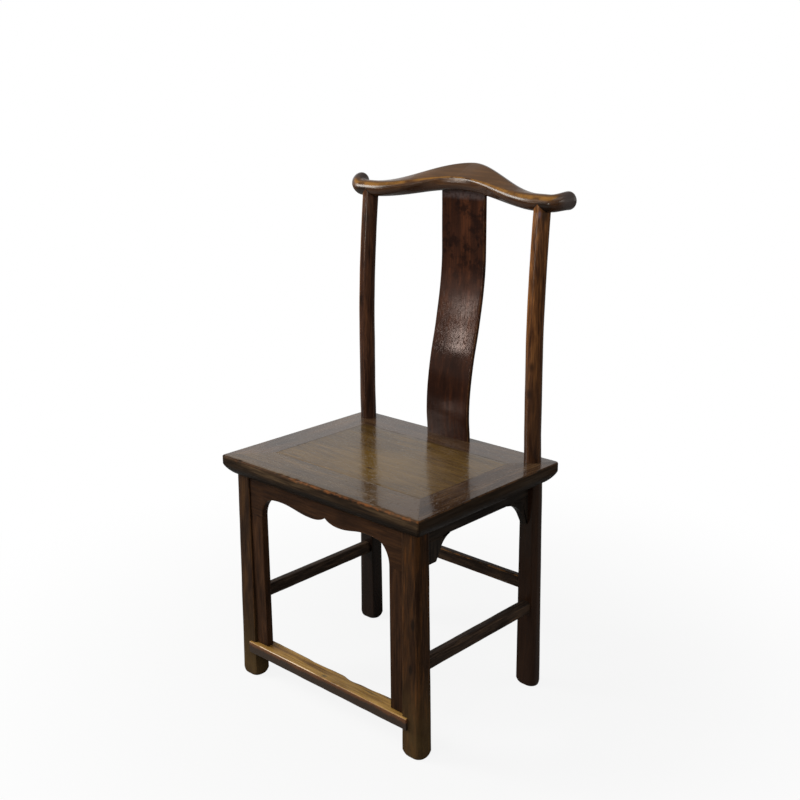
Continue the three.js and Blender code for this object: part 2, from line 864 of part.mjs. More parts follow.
function frontApron() {
  const end = legInnerX - clearance;
  const kneeX = spandrelEdge - apronCornerCurveWidth;
  const kneeZ = apronCornerZ + apronCornerCurveHeight;
  const haunch = spandrelEdge - apronHaunchReach;
  const lobeZ = apronBand - lobeDip;
  const lobe = (side) => cuspOffset + side * lobeReach;
  const cornerHandleZ = mix(apronCornerZ, kneeZ, cornerHandleShare);
  const kneeHandleX = mix(kneeX, spandrelEdge, cornerHandleShare);
  const kneeHandleZ = mix(apronCornerZ, kneeZ, kneeHandleShare);
  const haunchHandle = mix(haunch, kneeX, haunchHandleShare);
  const shape = new THREE.Shape();
  shape.moveTo(-end, boardTop);
  shape.lineTo(-end, apronCornerZ);
  shape.lineTo(-spandrelEdge, apronCornerZ);
  shape.bezierCurveTo(
    -spandrelEdge, cornerHandleZ, -kneeHandleX, kneeHandleZ, -kneeX, kneeZ,
  );
  shape.quadraticCurveTo(-haunchHandle, apronBand, -haunch, apronBand);
  shape.bezierCurveTo(
    mix(-haunch, lobe(-1), lobeHandleShare), apronBand, mix(lobe(-1), -haunch, lobeHandleShare), lobeZ,
    lobe(-1), lobeZ,
  );
  shape.quadraticCurveTo(cuspOffset - cuspReach, lobeZ, cuspOffset, apronBand + cuspRise);
  shape.quadraticCurveTo(cuspOffset + cuspReach, lobeZ, lobe(1), lobeZ);
  shape.bezierCurveTo(
    mix(lobe(1), haunch, lobeHandleShare), lobeZ, mix(haunch, lobe(1), lobeHandleShare), apronBand,
    haunch, apronBand,
  );
  shape.quadraticCurveTo(haunchHandle, apronBand, kneeX, kneeZ);
  shape.bezierCurveTo(
    kneeHandleX, kneeHandleZ, spandrelEdge, cornerHandleZ, spandrelEdge, apronCornerZ,
  );
  shape.lineTo(end, apronCornerZ);
  shape.lineTo(end, boardTop);
  const front = frontLegFrontY + frontBoardSetback;
  return joined(
    prismY(shape, front, front + boardThickness),
    bothSides(frontBoardTongue(apronCornerZ, boardTop)),
  );
}

function frontSpandrel() {
  const front = frontLegFrontY + frontBoardSetback;
  const bottom = footRailTop + clearance;
  const top = apronCornerZ - clearance;
  return joined(
    block([spandrelEdge, legInnerX - clearance], [front, front + boardThickness], [bottom, top]),
    frontBoardTongue(bottom, top),
  );
}

// Straight apron and the brackets below its two ends, on one side of the chair
const sideApronBottom = boardTop - sideApronHeight;

function sideApron() {
  return joined(
    block(
      [sideBoardInner, sideBoardOuter],
      [frontLegBackY + clearance, rearLegFrontY - clearance],
      [sideApronBottom, boardTop],
    ),
    sideBoardTongues(sideApronBottom, boardTop),
  );
}

// A bracket outline: along the apron, down a hollow curve to its knee, then down to its foot on the leg
function bracketOutline(leg, reach, drop, foot, knee, kneeDrop, direction) {
  const top = sideApronBottom - clearance;
  const kneeZ = boardTop - kneeDrop;
  const bottom = boardTop - drop;
  const shape = new THREE.Shape();
  shape.moveTo(leg, top);
  shape.lineTo(leg + direction * reach, top);
  shape.quadraticCurveTo(
    leg + direction * mix(knee, reach, bracketHandleShare), mix(kneeZ, top, kneeHandleShare),
    leg + direction * knee, kneeZ,
  );
  shape.lineTo(leg + direction * foot, bottom);
  shape.lineTo(leg, bottom);
  return shape;
}

function frontBracketOutline(leg, direction) {
  return bracketOutline(
    leg, frontBracketReach, frontBracketDrop, frontBracketFoot, frontBracketKnee, frontBracketKneeDrop, direction,
  );
}

function rearBracketOutline(leg, direction) {
  return bracketOutline(
    leg, rearBracketReach, rearBracketDrop, rearBracketFoot, rearBracketKnee, rearBracketKneeDrop, direction,
  );
}

function sideBracket(back) {
  const shape = back
    ? rearBracketOutline(rearLegFrontY - clearance, -1)
    : frontBracketOutline(frontLegBackY + clearance, 1);
  const drop = back ? rearBracketDrop : frontBracketDrop;
  const tongues = sideBoardTongues(boardTop - drop, sideApronBottom - clearance);
  const half = back
    ? [rearLegFrontY - clearance - rearBracketFoot, rearLegFrontY + tongueLength + overrun]
    : [frontLegBackY - tongueLength - overrun, frontLegBackY + clearance + rearBracketFoot];
  const keep = block([sideBoardInner, sideBoardOuter], half, [boardTop - drop, sideApronBottom]);
  return joined(prismX(shape, sideBoardInner, sideBoardOuter), tongues.intersect(keep));
}

function backApron() {
  return joined(
    block(
      [-legInnerX + clearance, legInnerX - clearance],
      [backBoardFront, backBoardFront + boardThickness],
      [sideApronBottom, boardTop],
    ),
    bothSides(backBoardTongue(sideApronBottom, boardTop)),
  );
}

function backBracket() {
  const shape = rearBracketOutline(legInnerX - clearance, -1);
  const tongue = backBoardTongue(boardTop - rearBracketDrop, sideApronBottom - clearance).intersect(block(
    [legInnerX - clearance - rearBracketFoot, legInnerX + tongueLength + overrun],
    [backBoardFront, backBoardFront + boardThickness],
    [boardTop - rearBracketDrop, sideApronBottom],
  ));
  return joined(prismY(shape, backBoardFront, backBoardFront + boardThickness), tongue);
}

// The seat: frame, panel, battens and corner pegs
function seatGroup() {
  const group = new THREE.Group();
  group.add(
    mesh('seat_frame_front', geometryOf(longMember(false)), wood(seatBrown, 0.35)),
    mesh('seat_frame_back', geometryOf(longMember(true)), wood(seatBrown, 0.35)),
    mesh('seat_panel', geometryOf(seatPanel()), wood(panelBrown, 0.3)),
    ...pair('seat_frame', sideMember(), seatBrown),
    ...pair('seat_batten', batten(), innerBrown),
    ...pair('seat_peg_front', seatPeg(false), railBrown),
    ...pair('seat_peg_rear', seatPeg(true), railBrown),
  );
  return group;
}

// The back: splat, crest rail and the pegs that lock it
function backGroup() {
  const group = new THREE.Group();
  group.add(
    mesh('back_splat', geometryOf(splat()), wood(backBrown)),
    mesh('crest_rail', geometryOf(crestRail()), wood(backBrown, 0.35)),
    ...pair('crest_peg', crestPeg(), railBrown),
  );
  return group;
}

// The base: legs, aprons, spandrels and rails
function baseGroup() {
  const group = new THREE.Group();
  group.add(
    ...pair('front_leg', frontLeg(), legBrown),
    ...pair('rear_leg', rearLeg(), legBrown),
    mesh('front_apron', geometryOf(frontApron()), wood(legBrown)),
    ...pair('front_spandrel', frontSpandrel(), legBrown),
    ...pair('side_apron', sideApron(), innerBrown),
    ...pair('side_front_spandrel', sideBracket(false), innerBrown),
    ...pair('side_rear_spandrel', sideBracket(true), innerBrown),
    mesh('back_apron', geometryOf(backApron()), wood(innerBrown)),
    ...pair('back_spandrel', backBracket(), innerBrown),
    mesh('front_foot_rail', geometryOf(footRail()), wood(railBrown, 0.5)),
    ...pair('side_stretcher', sideStretcher(), legBrown),
    mesh('rear_stretcher', geometryOf(rearStretcher()), wood(legBrown)),
  );
  return group;
}

// The pillow of the crest reaches furthest back and the seat furthest forward; the origin is midway
const crestBack = crestPostY + crestPillowTopSweep + crestPillowTopRadius;
const chair = new THREE.Group();
chair.add(seatGroup(), backGroup(), baseGroup());
chair.position.y = -(seatFront + crestBack) / 2;

export default chair;
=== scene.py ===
import math
import bmesh
import bpy
from mathutils import Matrix, Vector, noise


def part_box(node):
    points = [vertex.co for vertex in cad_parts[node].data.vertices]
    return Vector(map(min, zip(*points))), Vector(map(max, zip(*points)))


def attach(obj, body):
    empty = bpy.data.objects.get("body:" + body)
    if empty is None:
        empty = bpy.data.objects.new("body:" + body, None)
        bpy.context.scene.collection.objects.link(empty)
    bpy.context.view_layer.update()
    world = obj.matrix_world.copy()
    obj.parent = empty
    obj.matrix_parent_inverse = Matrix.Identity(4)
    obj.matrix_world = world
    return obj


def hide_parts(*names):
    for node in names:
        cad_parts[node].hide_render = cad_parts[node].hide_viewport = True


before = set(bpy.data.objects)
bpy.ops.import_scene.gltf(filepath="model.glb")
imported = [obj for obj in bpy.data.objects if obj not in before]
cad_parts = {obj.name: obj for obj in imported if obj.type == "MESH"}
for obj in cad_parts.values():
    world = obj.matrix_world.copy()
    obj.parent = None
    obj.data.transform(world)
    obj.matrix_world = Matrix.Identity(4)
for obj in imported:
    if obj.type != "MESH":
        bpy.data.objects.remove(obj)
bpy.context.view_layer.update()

# Camera: where the photographer stood, in front of the chair and to its right, looking a little down.
# The lens is a plain one, a bit longer than normal, with no shift and no blur.
camera_place = Vector((1.4612, -1.5612, 1.2152))
camera_turn = math.radians(43.004)
camera_dip = math.radians(16.243)
camera_roll = math.radians(-0.490)
sensor_width = 36.0
lens_length = 51.32


def put(name, data):
    """Puts an object with this data into the scene."""
    made = bpy.data.objects.new(name, data)
    bpy.context.scene.collection.objects.link(made)
    return made


camera_data = bpy.data.cameras.new("camera")
camera_data.sensor_width = sensor_width
camera_data.lens = lens_length
camera = put("camera", camera_data)
camera.matrix_world = (
    Matrix.Translation(camera_place)
    @ Matrix.Rotation(camera_turn, 4, "Z")
    @ Matrix.Rotation(math.pi / 2 - camera_dip, 4, "X")
    @ Matrix.Rotation(camera_roll, 4, "Z")
)
bpy.context.scene.camera = camera
bpy.context.scene.view_settings.view_transform = "Standard"

# Studio light: a soft lamp on the front left, as a window beside the photographer would be, with small ones
# that glint on the splat and the posts, weak ones on the right, overhead and behind, and a pale room.
# The polish of the seat shows its white walls, while the top of the crest rail shows the greyer ceiling.
room_light = 0.32
wall_top = 0.45
ceiling_from = 0.62


def lamp(name, place, target, width, height, power):
    """A soft rectangular lamp that faces its target."""
    data = bpy.data.lights.new(name, "AREA")
    data.shape = "RECTANGLE"
    data.size = width
    data.size_y = height
    data.energy = power
    made = put(name, data)
    made.location = place
    made.rotation_euler = (Vector(target) - Vector(place)).to_track_quat("-Z", "Y").to_euler()


def add_node(tree, kind, sockets=(), **settings):
    """Adds a shader node. A socket is given a value, or the output that is linked to it."""
    made = tree.nodes.new(kind)
    for name, value in settings.items():
        setattr(made, name, value)
    for name, value in dict(sockets).items():
        if isinstance(value, bpy.types.NodeSocket):
            tree.links.new(value, made.inputs[name])
        else:
            made.inputs[name].default_value = value
    return made


def calculate(how, first, second):
    """A calculation with two values, of which at least one is the output of a node."""
    tree = (first if isinstance(first, bpy.types.NodeSocket) else second).id_data
    return add_node(tree, "ShaderNodeMath", {0: first, 1: second}, operation=how).outputs[0]


def times(first, second):
    return calculate("MULTIPLY", first, second)


def grade(value, low, high, to_low=0.0, to_high=1.0):
    """A value eased from one range into another and held at its ends."""
    return add_node(value.id_data, "ShaderNodeMapRange", {
        "Value": value, "From Min": low, "From Max": high, "To Min": to_low, "To Max": to_high,
    }, interpolation_type="SMOOTHSTEP").outputs[0]


def part_of(vector, axis):
    """The X, Y or Z of a vector."""
    return add_node(vector.id_data, "ShaderNodeSeparateXYZ", {0: vector}).outputs[axis]


lamp("window_lamp", (-2.2, -1.5, 1.82), (0, 0.1, 0.8), 1.2, 0.95, 98)
lamp("glint_lamp", (-1.78, -2.14, 1.1), (0, 0.15, 0.7), 0.22, 0.16, 4.8)
lamp("post_lamp", (-0.5, -2.15, 0.92), (0, 0.1, 0.9), 0.12, 0.5, 8)
lamp("fill_lamp", (2.05, -1.6, 1.8), (0.1, 0.1, 0.8), 0.9, 0.5, 11)
lamp("ceiling_lamp", (0.5, -1.2, 3.0), (0, 0, 0.5), 1.6, 1.6, 26)
lamp("side_lamp", (2.2, 1.7, 1.6), (0, 0, 0.6), 0.8, 1.2, 8)

room = bpy.data.worlds.new("room")
room.use_nodes = True
room_tree = room.node_tree
# 1 for what the camera sees directly, in a polish or through glass, and 0 for light that falls
room_rays = add_node(room_tree, "ShaderNodeLightPath").outputs
room_mirrored = calculate("MAXIMUM", room_rays["Is Glossy Ray"], room_rays["Is Transmission Ray"])
room_seen = calculate("MAXIMUM", room_rays["Is Camera Ray"], room_mirrored)
room_direction = add_node(room_tree, "ShaderNodeTexCoord").outputs["Generated"]
room_white = times(room_seen, grade(part_of(room_direction, "Z"), ceiling_from, wall_top))
room_strength = add_node(room_tree, "ShaderNodeMapRange", {
    "Value": room_white, "To Min": room_light, "To Max": 1.0,
})
room_surface = room_tree.nodes["Background"]
room_surface.inputs["Color"].default_value = (1, 1, 1, 1)
room_tree.links.new(room_strength.outputs[0], room_surface.inputs["Strength"])
bpy.context.scene.world = room

# Floor: a plain pale studio floor that keeps the chair's shadow and fades to the white of the room.
# The camera sees it white, while the light that it throws back is that of a grey floor.
floor_size = 30.0
floor_fade_from = 0.35
floor_fade_to = 1.3
floor_white_share = 0.88
floor_grey = (0.42, 0.42, 0.41, 1)


def spot_on(material):
    """Where a point of the surface is, in the chair's own frame."""
    return add_node(material.node_tree, "ShaderNodeTexCoord").outputs["Object"]


def distance_of(vector):
    return add_node(vector.id_data, "ShaderNodeVectorMath", {0: vector}, operation="LENGTH").outputs["Value"]


floor_mesh = bpy.data.meshes.new("floor")
floor_corners = [(x * floor_size, y * floor_size, 0) for x, y in ((-1, -1), (1, -1), (1, 1), (-1, 1))]
floor_mesh.from_pydata(floor_corners, [], [(0, 1, 2, 3)])
floor = put("floor", floor_mesh)
floor_paint = bpy.data.materials.new("floor_paint")
floor_paint.use_nodes = True
floor_tree = floor_paint.node_tree
floor_tree.nodes.remove(floor_tree.nodes["Principled BSDF"])
floor_white = grade(
    distance_of(spot_on(floor_paint)), floor_fade_from, floor_fade_to, floor_white_share, 1.0,
)
floor_seen = times(floor_white, add_node(floor_tree, "ShaderNodeLightPath").outputs["Is Camera Ray"])
floor_lit = add_node(floor_tree, "ShaderNodeBsdfDiffuse", {"Color": floor_grey})
floor_glow = add_node(floor_tree, "ShaderNodeEmission", {"Color": (1, 1, 1, 1), "Strength": 1.0})
floor_mix = add_node(floor_tree, "ShaderNodeMixShader", {
    0: floor_seen, 1: floor_lit.outputs[0], 2: floor_glow.outputs[0],
})
floor_tree.links.new(floor_mix.outputs[0], floor_tree.nodes["Material Output"].inputs["Surface"])
floor_mesh.materials.append(floor_paint)

# Front legs: two square posts of dense brown wood, a little thicker at the foot, with the outer arris
# rounded over. Each is tenoned up into the seat frame and its foot is worn round.
mm = 0.001
seat_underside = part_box("seat_frame_front")[0].z
front_leg_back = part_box("front_leg_right")[1].y
front_leg_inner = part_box("front_leg_right")[0].x
foot_width = {"right": 43 * mm, "left": 45 * mm}
front_leg_foot_depth = 34.9 * mm
front_leg_top = (38 * mm, 32 * mm)
front_leg_radii = (2 * mm, 9.5 * mm, 4 * mm, 2 * mm)
front_leg_wobble = 0.7 * mm
rubbed_arris_width = 5 * mm
rubbed_arris_behind = 20 * mm
rubbed_arris_share = 0.5
wobble_span = 45 * mm
foot_height = 10 * mm
foot_inset = 1.5 * mm
foot_radius = 15 * mm
foot_steps = 9
foot_floor_light_height = 200 * mm
corner_steps = 6
side_steps = 6
leg_rings = 60
weld_distance = 0.005 * mm
soft_arris = 7 * mm
keen_arris = 2 * mm
least_span = 0.1 * mm
sharp_from = math.radians(35)


def mix(start, end, share):
    return start + (end - start) * share


def in_mm(*rows):
    """Rows of lengths that are written in millimetres."""
    return [[value * mm for value in row] for row in rows]


def rounded_rectangle(x, y, radii, steps=(side_steps, side_steps)):
    """Points round a rectangle with its own radius at each corner, from the low-low corner on."""
    middles = (
        (x[0] + radii[0], y[0] + radii[0]), (x[1] - radii[1], y[0] + radii[1]),
        (x[1] - radii[2], y[1] - radii[2]), (x[0] + radii[3], y[1] - radii[3]),
    )
    arcs = []
    for corner, (u, v) in enumerate(middles):
        angles = [math.pi * (1 + (corner + k / corner_steps) / 2) for k in range(corner_steps + 1)]
        arcs.append([(u + radii[corner] * math.cos(a), v + radii[corner] * math.sin(a)) for a in angles])
    points = []
    for corner, arc in enumerate(arcs):
        start = arc[-1]
        end = arcs[(corner + 1) % 4][0]
        count = steps[corner % 2]
        points += arc
        points += [
            (mix(start[0], end[0], k / count), mix(start[1], end[1], k / count)) for k in range(1, count)
        ]
    return points


def skin(name, rings):
    """A closed mesh over a row of rings with equally many points."""
    count = len(rings[0])
    points = [point for ring in rings for point in ring]
    faces = [
        (row * count + k, row * count + (k + 1) % count,
         (row + 1) * count + (k + 1) % count, (row + 1) * count + k)
        for row in range(len(rings) - 1) for k in range(count)
    ]
    faces.append(tuple(range(count)))
    faces.append(tuple(range(len(points) - count, len(points))))
    data = bpy.data.meshes.new(name)
    data.from_pydata(points, [], faces)
    shape = bmesh.new()
    shape.from_mesh(data)
    bmesh.ops.remove_doubles(shape, verts=shape.verts, dist=weld_distance)
    bmesh.ops.recalc_face_normals(shape, faces=shape.faces)
    shape.to_mesh(data)
    shape.free()
    return put(name, data)


def hand_worked(piece, depth, span, seed):
    """Moves the surface in and out within a depth, in soft waves about as wide as span."""
    normals = [vertex.normal.copy() for vertex in piece.data.vertices]
    for vertex, normal in zip(piece.data.vertices, normals):
        wave = noise.noise(vertex.co / span + Vector((seed, seed, 0)))
        vertex.co -= normal * depth * wave / 2
        vertex.co.z = max(0.0, vertex.co.z)


def mark_arrises(piece):
    """Keeps on each point how keen the arris there is: 0 up to the soft one, 1 from the keen one on."""
    shape = bmesh.new()
    shape.from_mesh(piece.data)
    bends = [0.0] * len(shape.verts)
    for edge in shape.edges:
        if len(edge.link_faces) == 2:
            near, far = [face.calc_center_median() for face in edge.link_faces]
            bend = edge.calc_face_angle_signed(0.0) / max((near - far).length, least_span)
            for vertex in edge.verts:
                bends[vertex.index] = max(bends[vertex.index], bend)
    shape.free()
    marks = piece.data.attributes.new("wear", "FLOAT", "POINT")
    for k, bend in enumerate(bends):
        marks.data[k].value = min(1.0, max(0.0, (bend - 1 / soft_arris) / (1 / keen_arris - 1 / soft_arris)))


def exposed(spot):
    """For pieces whose arrises are rubbed all along."""
    return 1


def finish_piece(piece, material, slot, *nodes, open_to_wear=exposed):
    """Gives a piece its wood and its place on the chair, in the stead of its plain solid."""
    mark_arrises(piece)
    for vertex, mark in zip(piece.data.vertices, piece.data.attributes["wear"].data):
        mark.value *= open_to_wear(vertex.co)
    piece.data.shade_smooth()
    piece.data.set_sharp_from_angle(angle=sharp_from)
    piece.data.materials.append(material)
    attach(piece, "root")
    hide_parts(*nodes)


def tone(red, green, blue):
    """A colour written in screen values from 0 to 255."""
    def light(value):
        share = value / 255
        return share / 12.92 if share <= 0.04045 else ((share + 0.055) / 1.055) ** 2.4
    return (light(red), light(green), light(blue), 1.0)


def tones(*colours):
    """The deep, the body and the glow colour of a wood, in screen values."""
    return [tone(*colour) for colour in colours]


def ramp(value, stops):
    """A colour ramp from a list of places and colours."""
    made = add_node(value.id_data, "ShaderNodeValToRGB", {"Fac": value})
    elements = made.color_ramp.elements
    while len(elements) < len(stops):
        elements.new(0.5)
    for element, (place, colour) in zip(elements, stops):
        element.position = place
        element.color = colour
    return made.outputs["Color"]


def blend(share, first, second, how="MIX"):
    """The second colour over the first, by a share. The first or the share is the output of a node."""
    tree = first.id_data if isinstance(first, bpy.types.NodeSocket) else share.id_data
    made = tree.nodes.new("ShaderNodeMix")
    made.data_type = "RGBA"
    made.blend_type = how
    for socket, value in ((made.inputs[0], share), (made.inputs[6], first), (made.inputs[7], second)):
        if isinstance(value, bpy.types.NodeSocket):
            tree.links.new(value, socket)
        else:
            socket.default_value = value
    return made.outputs[2]


def cloud(place, scale, detail=4.0, roughness=0.6):
    """Smooth grey noise, about 0.5 in the middle."""
    return add_node(place.id_data, "ShaderNodeTexNoise", {
        "Vector": place, "Scale": scale, "Detail": detail, "Roughness": roughness,
    }).outputs["Fac"]


lacquer_tint = tone(255, 249, 236)


def old_wood(name, grain, colours, worn, seed, polish=0.34, shine=0.02, bands=300, relief=0.1, patchy=0.3,
             pits=0.0):
    """Lacquered old wood with its grain along one axis: x, y or z, and so many bands of it in a metre."""
    material = bpy.data.materials.new(name)
    material.use_nodes = True
    tree = material.node_tree
    surface = tree.nodes["Principled BSDF"]
    deep, body, glow = colours
    spot = spot_on(material)
    waver = add_node(tree, "ShaderNodeTexNoise", {"Vector": spot, "Scale": 5.0, "Detail": 2.0})
    drift = add_node(tree, "ShaderNodeVectorMath", {
        0: waver.outputs["Color"], 1: (0.01, 0.01, 0.01), 2: spot,
    }, operation="MULTIPLY_ADD")

    def stretched(length):
        """The place in the wood, with everything drawn out along the grain so many times."""
        scale = [1.0, 1.0, 1.0]
        scale["xyz".index(grain)] = 1 / length
        return add_node(tree, "ShaderNodeMapping", {
            "Vector": drift.outputs[0], "Location": (seed, seed * 0.7, seed * 0.4), "Scale": scale,
        }).outputs[0]

    broad = cloud(stretched(8), bands * 0.3, 3, 0.5)
    fine = cloud(stretched(16), bands, 5)
    lines = cloud(stretched(50), bands * 3.5, 2, 0.5)
    patches = cloud(stretched(2.5), 9)
    figure = calculate("ADD", times(broad, 0.45), times(fine, 0.55))
    wood = ramp(figure, ((0.38, deep), (0.5, body), (0.62, glow)))
    shade = grade(patches, 0.3, 0.7, 1 - patchy, 1 + patchy)
    shades = add_node(tree, "ShaderNodeCombineColor", {0: shade, 1: shade, 2: shade})
    wood = blend(1.0, wood, shades.outputs[0], "MULTIPLY")
    pores = grade(lines, 0.52, 0.68)
    wood = blend(times(pores, 0.7), wood, deep)
    wear = add_node(tree, "ShaderNodeAttribute", attribute_name="wear").outputs["Fac"]
    wood = blend(times(wear, grade(cloud(spot, 45, 5, 0.65), 0.38, 0.6)), wood, worn)
    tree.links.new(wood, surface.inputs["Base Color"])
    dull = grade(calculate("ADD", patches, times(lines, 0.4)), 0.5, 0.95, polish * 0.8, polish * 1.35)
    tree.links.new(dull, surface.inputs["Roughness"])
    surface.inputs["Specular IOR Level"].default_value = shine
    surface.inputs["Specular Tint"].default_value = lacquer_tint
    height = calculate("SUBTRACT", fine, times(pores, 0.4))
    if pits:
        pitted = grade(cloud(stretched(3), 420, 3), 0.55, 0.72)
        height = calculate("SUBTRACT", height, times(pitted, pits))
    bump = add_node(tree, "ShaderNodeBump", {"Strength": 0.5, "Distance": relief * mm, "Height": height})
    tree.links.new(bump.outputs[0], surface.inputs["Normal"])
    return material


def stain(material, mask, colour, share=1.0):
    """Lays one more colour over a wood, by a share where the mask is 1."""
    base = material.node_tree.nodes["Principled BSDF"].inputs["Base Color"]
    stained = blend(times(mask, share), base.links[0].from_socket, colour)
    material.node_tree.links.new(stained, base)


def dab(material, place, size, colour, share=1.0, full=0.2):
    """Stains an oval with these half lengths, full in its middle and fading to its rim."""
    offset = add_node(material.node_tree, "ShaderNodeVectorMath", {
        0: spot_on(material), 1: place,
    }, operation="SUBTRACT")
    reach = add_node(material.node_tree, "ShaderNodeVectorMath", {
        0: offset.outputs[0], 1: size,
    }, operation="DIVIDE")
    stain(material, grade(distance_of(reach.outputs[0]), 1.0, full), colour, share)


def leg_ring(inner, width, depth, back, z, inset, radii):
    """One level of a square leg, as points round it."""
    ring = rounded_rectangle(
        (inner + inset, inner + width - inset), (back - depth + inset, back - inset), radii,
    )
    return [(x, y, z) for x, y in ring]


def square_leg(inner, foot, top, back_at, radii):
    """The rings of a leg from its rounded sole to the seat. foot and top are its width and depth there."""
    rings = []
    for k in range(foot_steps):
        angle = math.pi / 2 * k / foot_steps
        left = 1 - math.sin(angle)
        wider = [mix(radius, foot_radius, left ** 0.5) for radius in radii]
        z = foot_height * (1 - math.cos(angle))
        rings.append(leg_ring(inner, *foot, back_at(foot[1]), z, foot_inset * left, wider))
    for k in range(leg_rings + 1):
        share = k / leg_rings
        width, depth = [mix(low, high, share) for low, high in zip(foot, top)]
        z = mix(foot_height, seat_underside, share)
        rings.append(leg_ring(inner, width, depth, back_at(depth), z, 0, radii))
    return rings


def other_hand(rings, side):
    """The same rings on the left of the chair where side is -1."""
    return [[(side * x, y, z) for x, y, z in ring] for ring in rings]


def front_leg_wear(spot):
    """Only the arris beside the opening is rubbed, and only at the front."""
    beside_opening = abs(spot.x) < front_leg_inner + rubbed_arris_width
    at_front = spot.y < front_leg_back - rubbed_arris_behind
    return rubbed_arris_share if beside_opening and at_front else 0


leg_tones = {
    "right": tones((32, 19, 12), (47, 31, 19), (72, 44, 22)),
    "left": tones((26, 16, 11), (39, 26, 17), (56, 37, 21)),
}
leg_worn = tone(82, 54, 30)
leg_knot_tone = tone(22, 16, 12)
# Dark knots on the front of the right leg: place along X, height and half lengths across and along
leg_knots = in_mm((227, 180, 6, 15), (233, 270, 7, 18))
# Painted light: the feet are painted lighter towards the floor, as the light that the floor throws back on
# them.
leg_foot_light_tone = tone(74, 58, 34)

for hand, side, seed in (("right", 1, 0.0), ("left", -1, 3.1)):
    foot = (foot_width[hand], front_leg_foot_depth)
    rings = square_leg(front_leg_inner, foot, front_leg_top, lambda depth: front_leg_back, front_leg_radii)
    leg = skin(f"front_leg_{hand}_wood", other_hand(rings, side))
    hand_worked(leg, front_leg_wobble, wobble_span, seed)
    leg_wood = old_wood(f"leg_wood_{hand}", "z", leg_tones[hand], leg_worn, seed)
    spot = spot_on(leg_wood)
    # Painted light on the feet, lighter and patchy towards the floor.
    foot_floor_light = times(grade(part_of(spot, "Z"), foot_floor_light_height, 0.0), cloud(spot, 24))
    stain(leg_wood, foot_floor_light, leg_foot_light_tone, 1.1)
    if hand == "right":
        for x, z, across, up in leg_knots:
            place = (x, front_leg_back - front_leg_foot_depth, z)
            dab(leg_wood, place, (across, across, up), leg_knot_tone, 0.8, 0.4)
    finish_piece(leg, leg_wood, "leg_wood", f"front_leg_{hand}", open_to_wear=front_leg_wear)

# Rear legs and posts: each is one timber from the floor to the crest rail, square under the seat and turned
# round above it. It passes through a hole in the seat frame and bends back towards the crest.
rear_leg_inset = 43.5 * mm
rear_leg_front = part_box("seat_frame_back")[1].y - rear_leg_inset
rear_leg_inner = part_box("rear_leg_right")[0].x
rear_leg_foot_depth = 31.4 * mm
rear_leg_top = (38.5 * mm, 28.5 * mm)
rear_leg_radii = (2 * mm, 10 * mm, 12 * mm, 2 * mm)
rear_leg_wobble = 0.5 * mm
seat_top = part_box("seat_frame_front")[1].z
crest_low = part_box("crest_rail")[0]
crest_radius = 16 * mm
crest_middle_y = crest_low.y + crest_radius
crest_middle_z = crest_low.z + crest_radius
post_seat = (222.3 * mm, 142.5 * mm)
post_top_x = 219.6 * mm
post_waist = 1.3 * mm
post_waist_height = 60 * mm
post_bend = 15.3 * mm
post_bend_power = 1.65
post_bend_from = crest_low.z - 260 * mm
post_radius = 16.7 * mm
post_top_radius = 16.2 * mm
post_seat_radius = 17 * mm
post_collar = 7 * mm
# Where the square leg turns round inside the seat: radius and rise above the seat's underside
post_roots = ((12.5 * mm, 2 * mm), (post_seat_radius, 12 * mm))
post_overlap = 2 * mm
post_rings = 90
post_roof_steps = 18
post_roof_step = 1 * mm


def ease(share):
    return (1 - math.cos(math.pi * min(1.0, max(0.0, share)))) / 2


def post_middle(z):
    """Where the middle of the right post is at a height."""
    up = (z - seat_top) / (crest_middle_z - seat_top)
    bend = max(0.0, z - post_bend_from) / (crest_low.z - post_bend_from)
    waist = post_waist * ease((z - seat_top) / post_waist_height)
    return mix(post_seat[0], post_top_x, up), post_seat[1] - waist + post_bend * bend ** post_bend_power


ring_points = len(rounded_rectangle((0, 1), (0, 1), (0.1,) * 4))


def post_ring(x, y, radius, z, ridge=None):
    """A round ring whose points start where those of a square leg do. A ridge caps it like a roof."""
    ring = []
    for k in range(ring_points):
        angle = math.pi * (1 + 2 * k / ring_points)
        point = (x + radius * math.cos(angle), y + radius * math.sin(angle))
        height = z if ridge is None else min(z, ridge - abs(point[0] - x))
        ring.append((*point, height))
    return ring


def facing(material, way):
    """How squarely the surface faces a way, 1 where it does."""
    normal = add_node(material.node_tree, "ShaderNodeNewGeometry").outputs["Normal"]
    return add_node(material.node_tree, "ShaderNodeVectorMath", {
        0: normal, 1: way,
    }, operation="DOT_PRODUCT").outputs["Value"]


def plateau(value, rise_from, rise_to, fall_from, fall_to):
    """1 between two places of a value, easing to 0 on either side of them."""
    return times(grade(value, rise_from, rise_to), grade(value, fall_to, fall_from))


def sheltered(spot):
    """For pieces whose arrises nothing rubs."""
    return 0


scribe_core = 0.5 * mm
scribe_rim = 1.5 * mm


def scribe_line(material, colour):
    """The dark line of the mitred joint where a post runs into the crest rail like an arrow head."""
    spot = spot_on(material)
    off_middle = calculate("SUBTRACT", calculate("ABSOLUTE", part_of(spot, "X"), 0), post_top_x)
    below = calculate("SUBTRACT", crest_middle_z, part_of(spot, "Z"))
    off_line = calculate("SUBTRACT", calculate("ABSOLUTE", off_middle, 0), below)
    line = grade(calculate("ABSOLUTE", off_line, 0), scribe_rim, scribe_core)
    in_joint = plateau(
        below, -scribe_core, scribe_core, crest_radius + scribe_core, crest_radius + scribe_rim,
    )
    stain(material, times(line, in_joint), colour)


post_tones = {
    "right": tones((46, 26, 14), (84, 52, 28), (114, 74, 40)),
    "left": tones((32, 18, 13), (54, 33, 22), (74, 46, 29)),
}
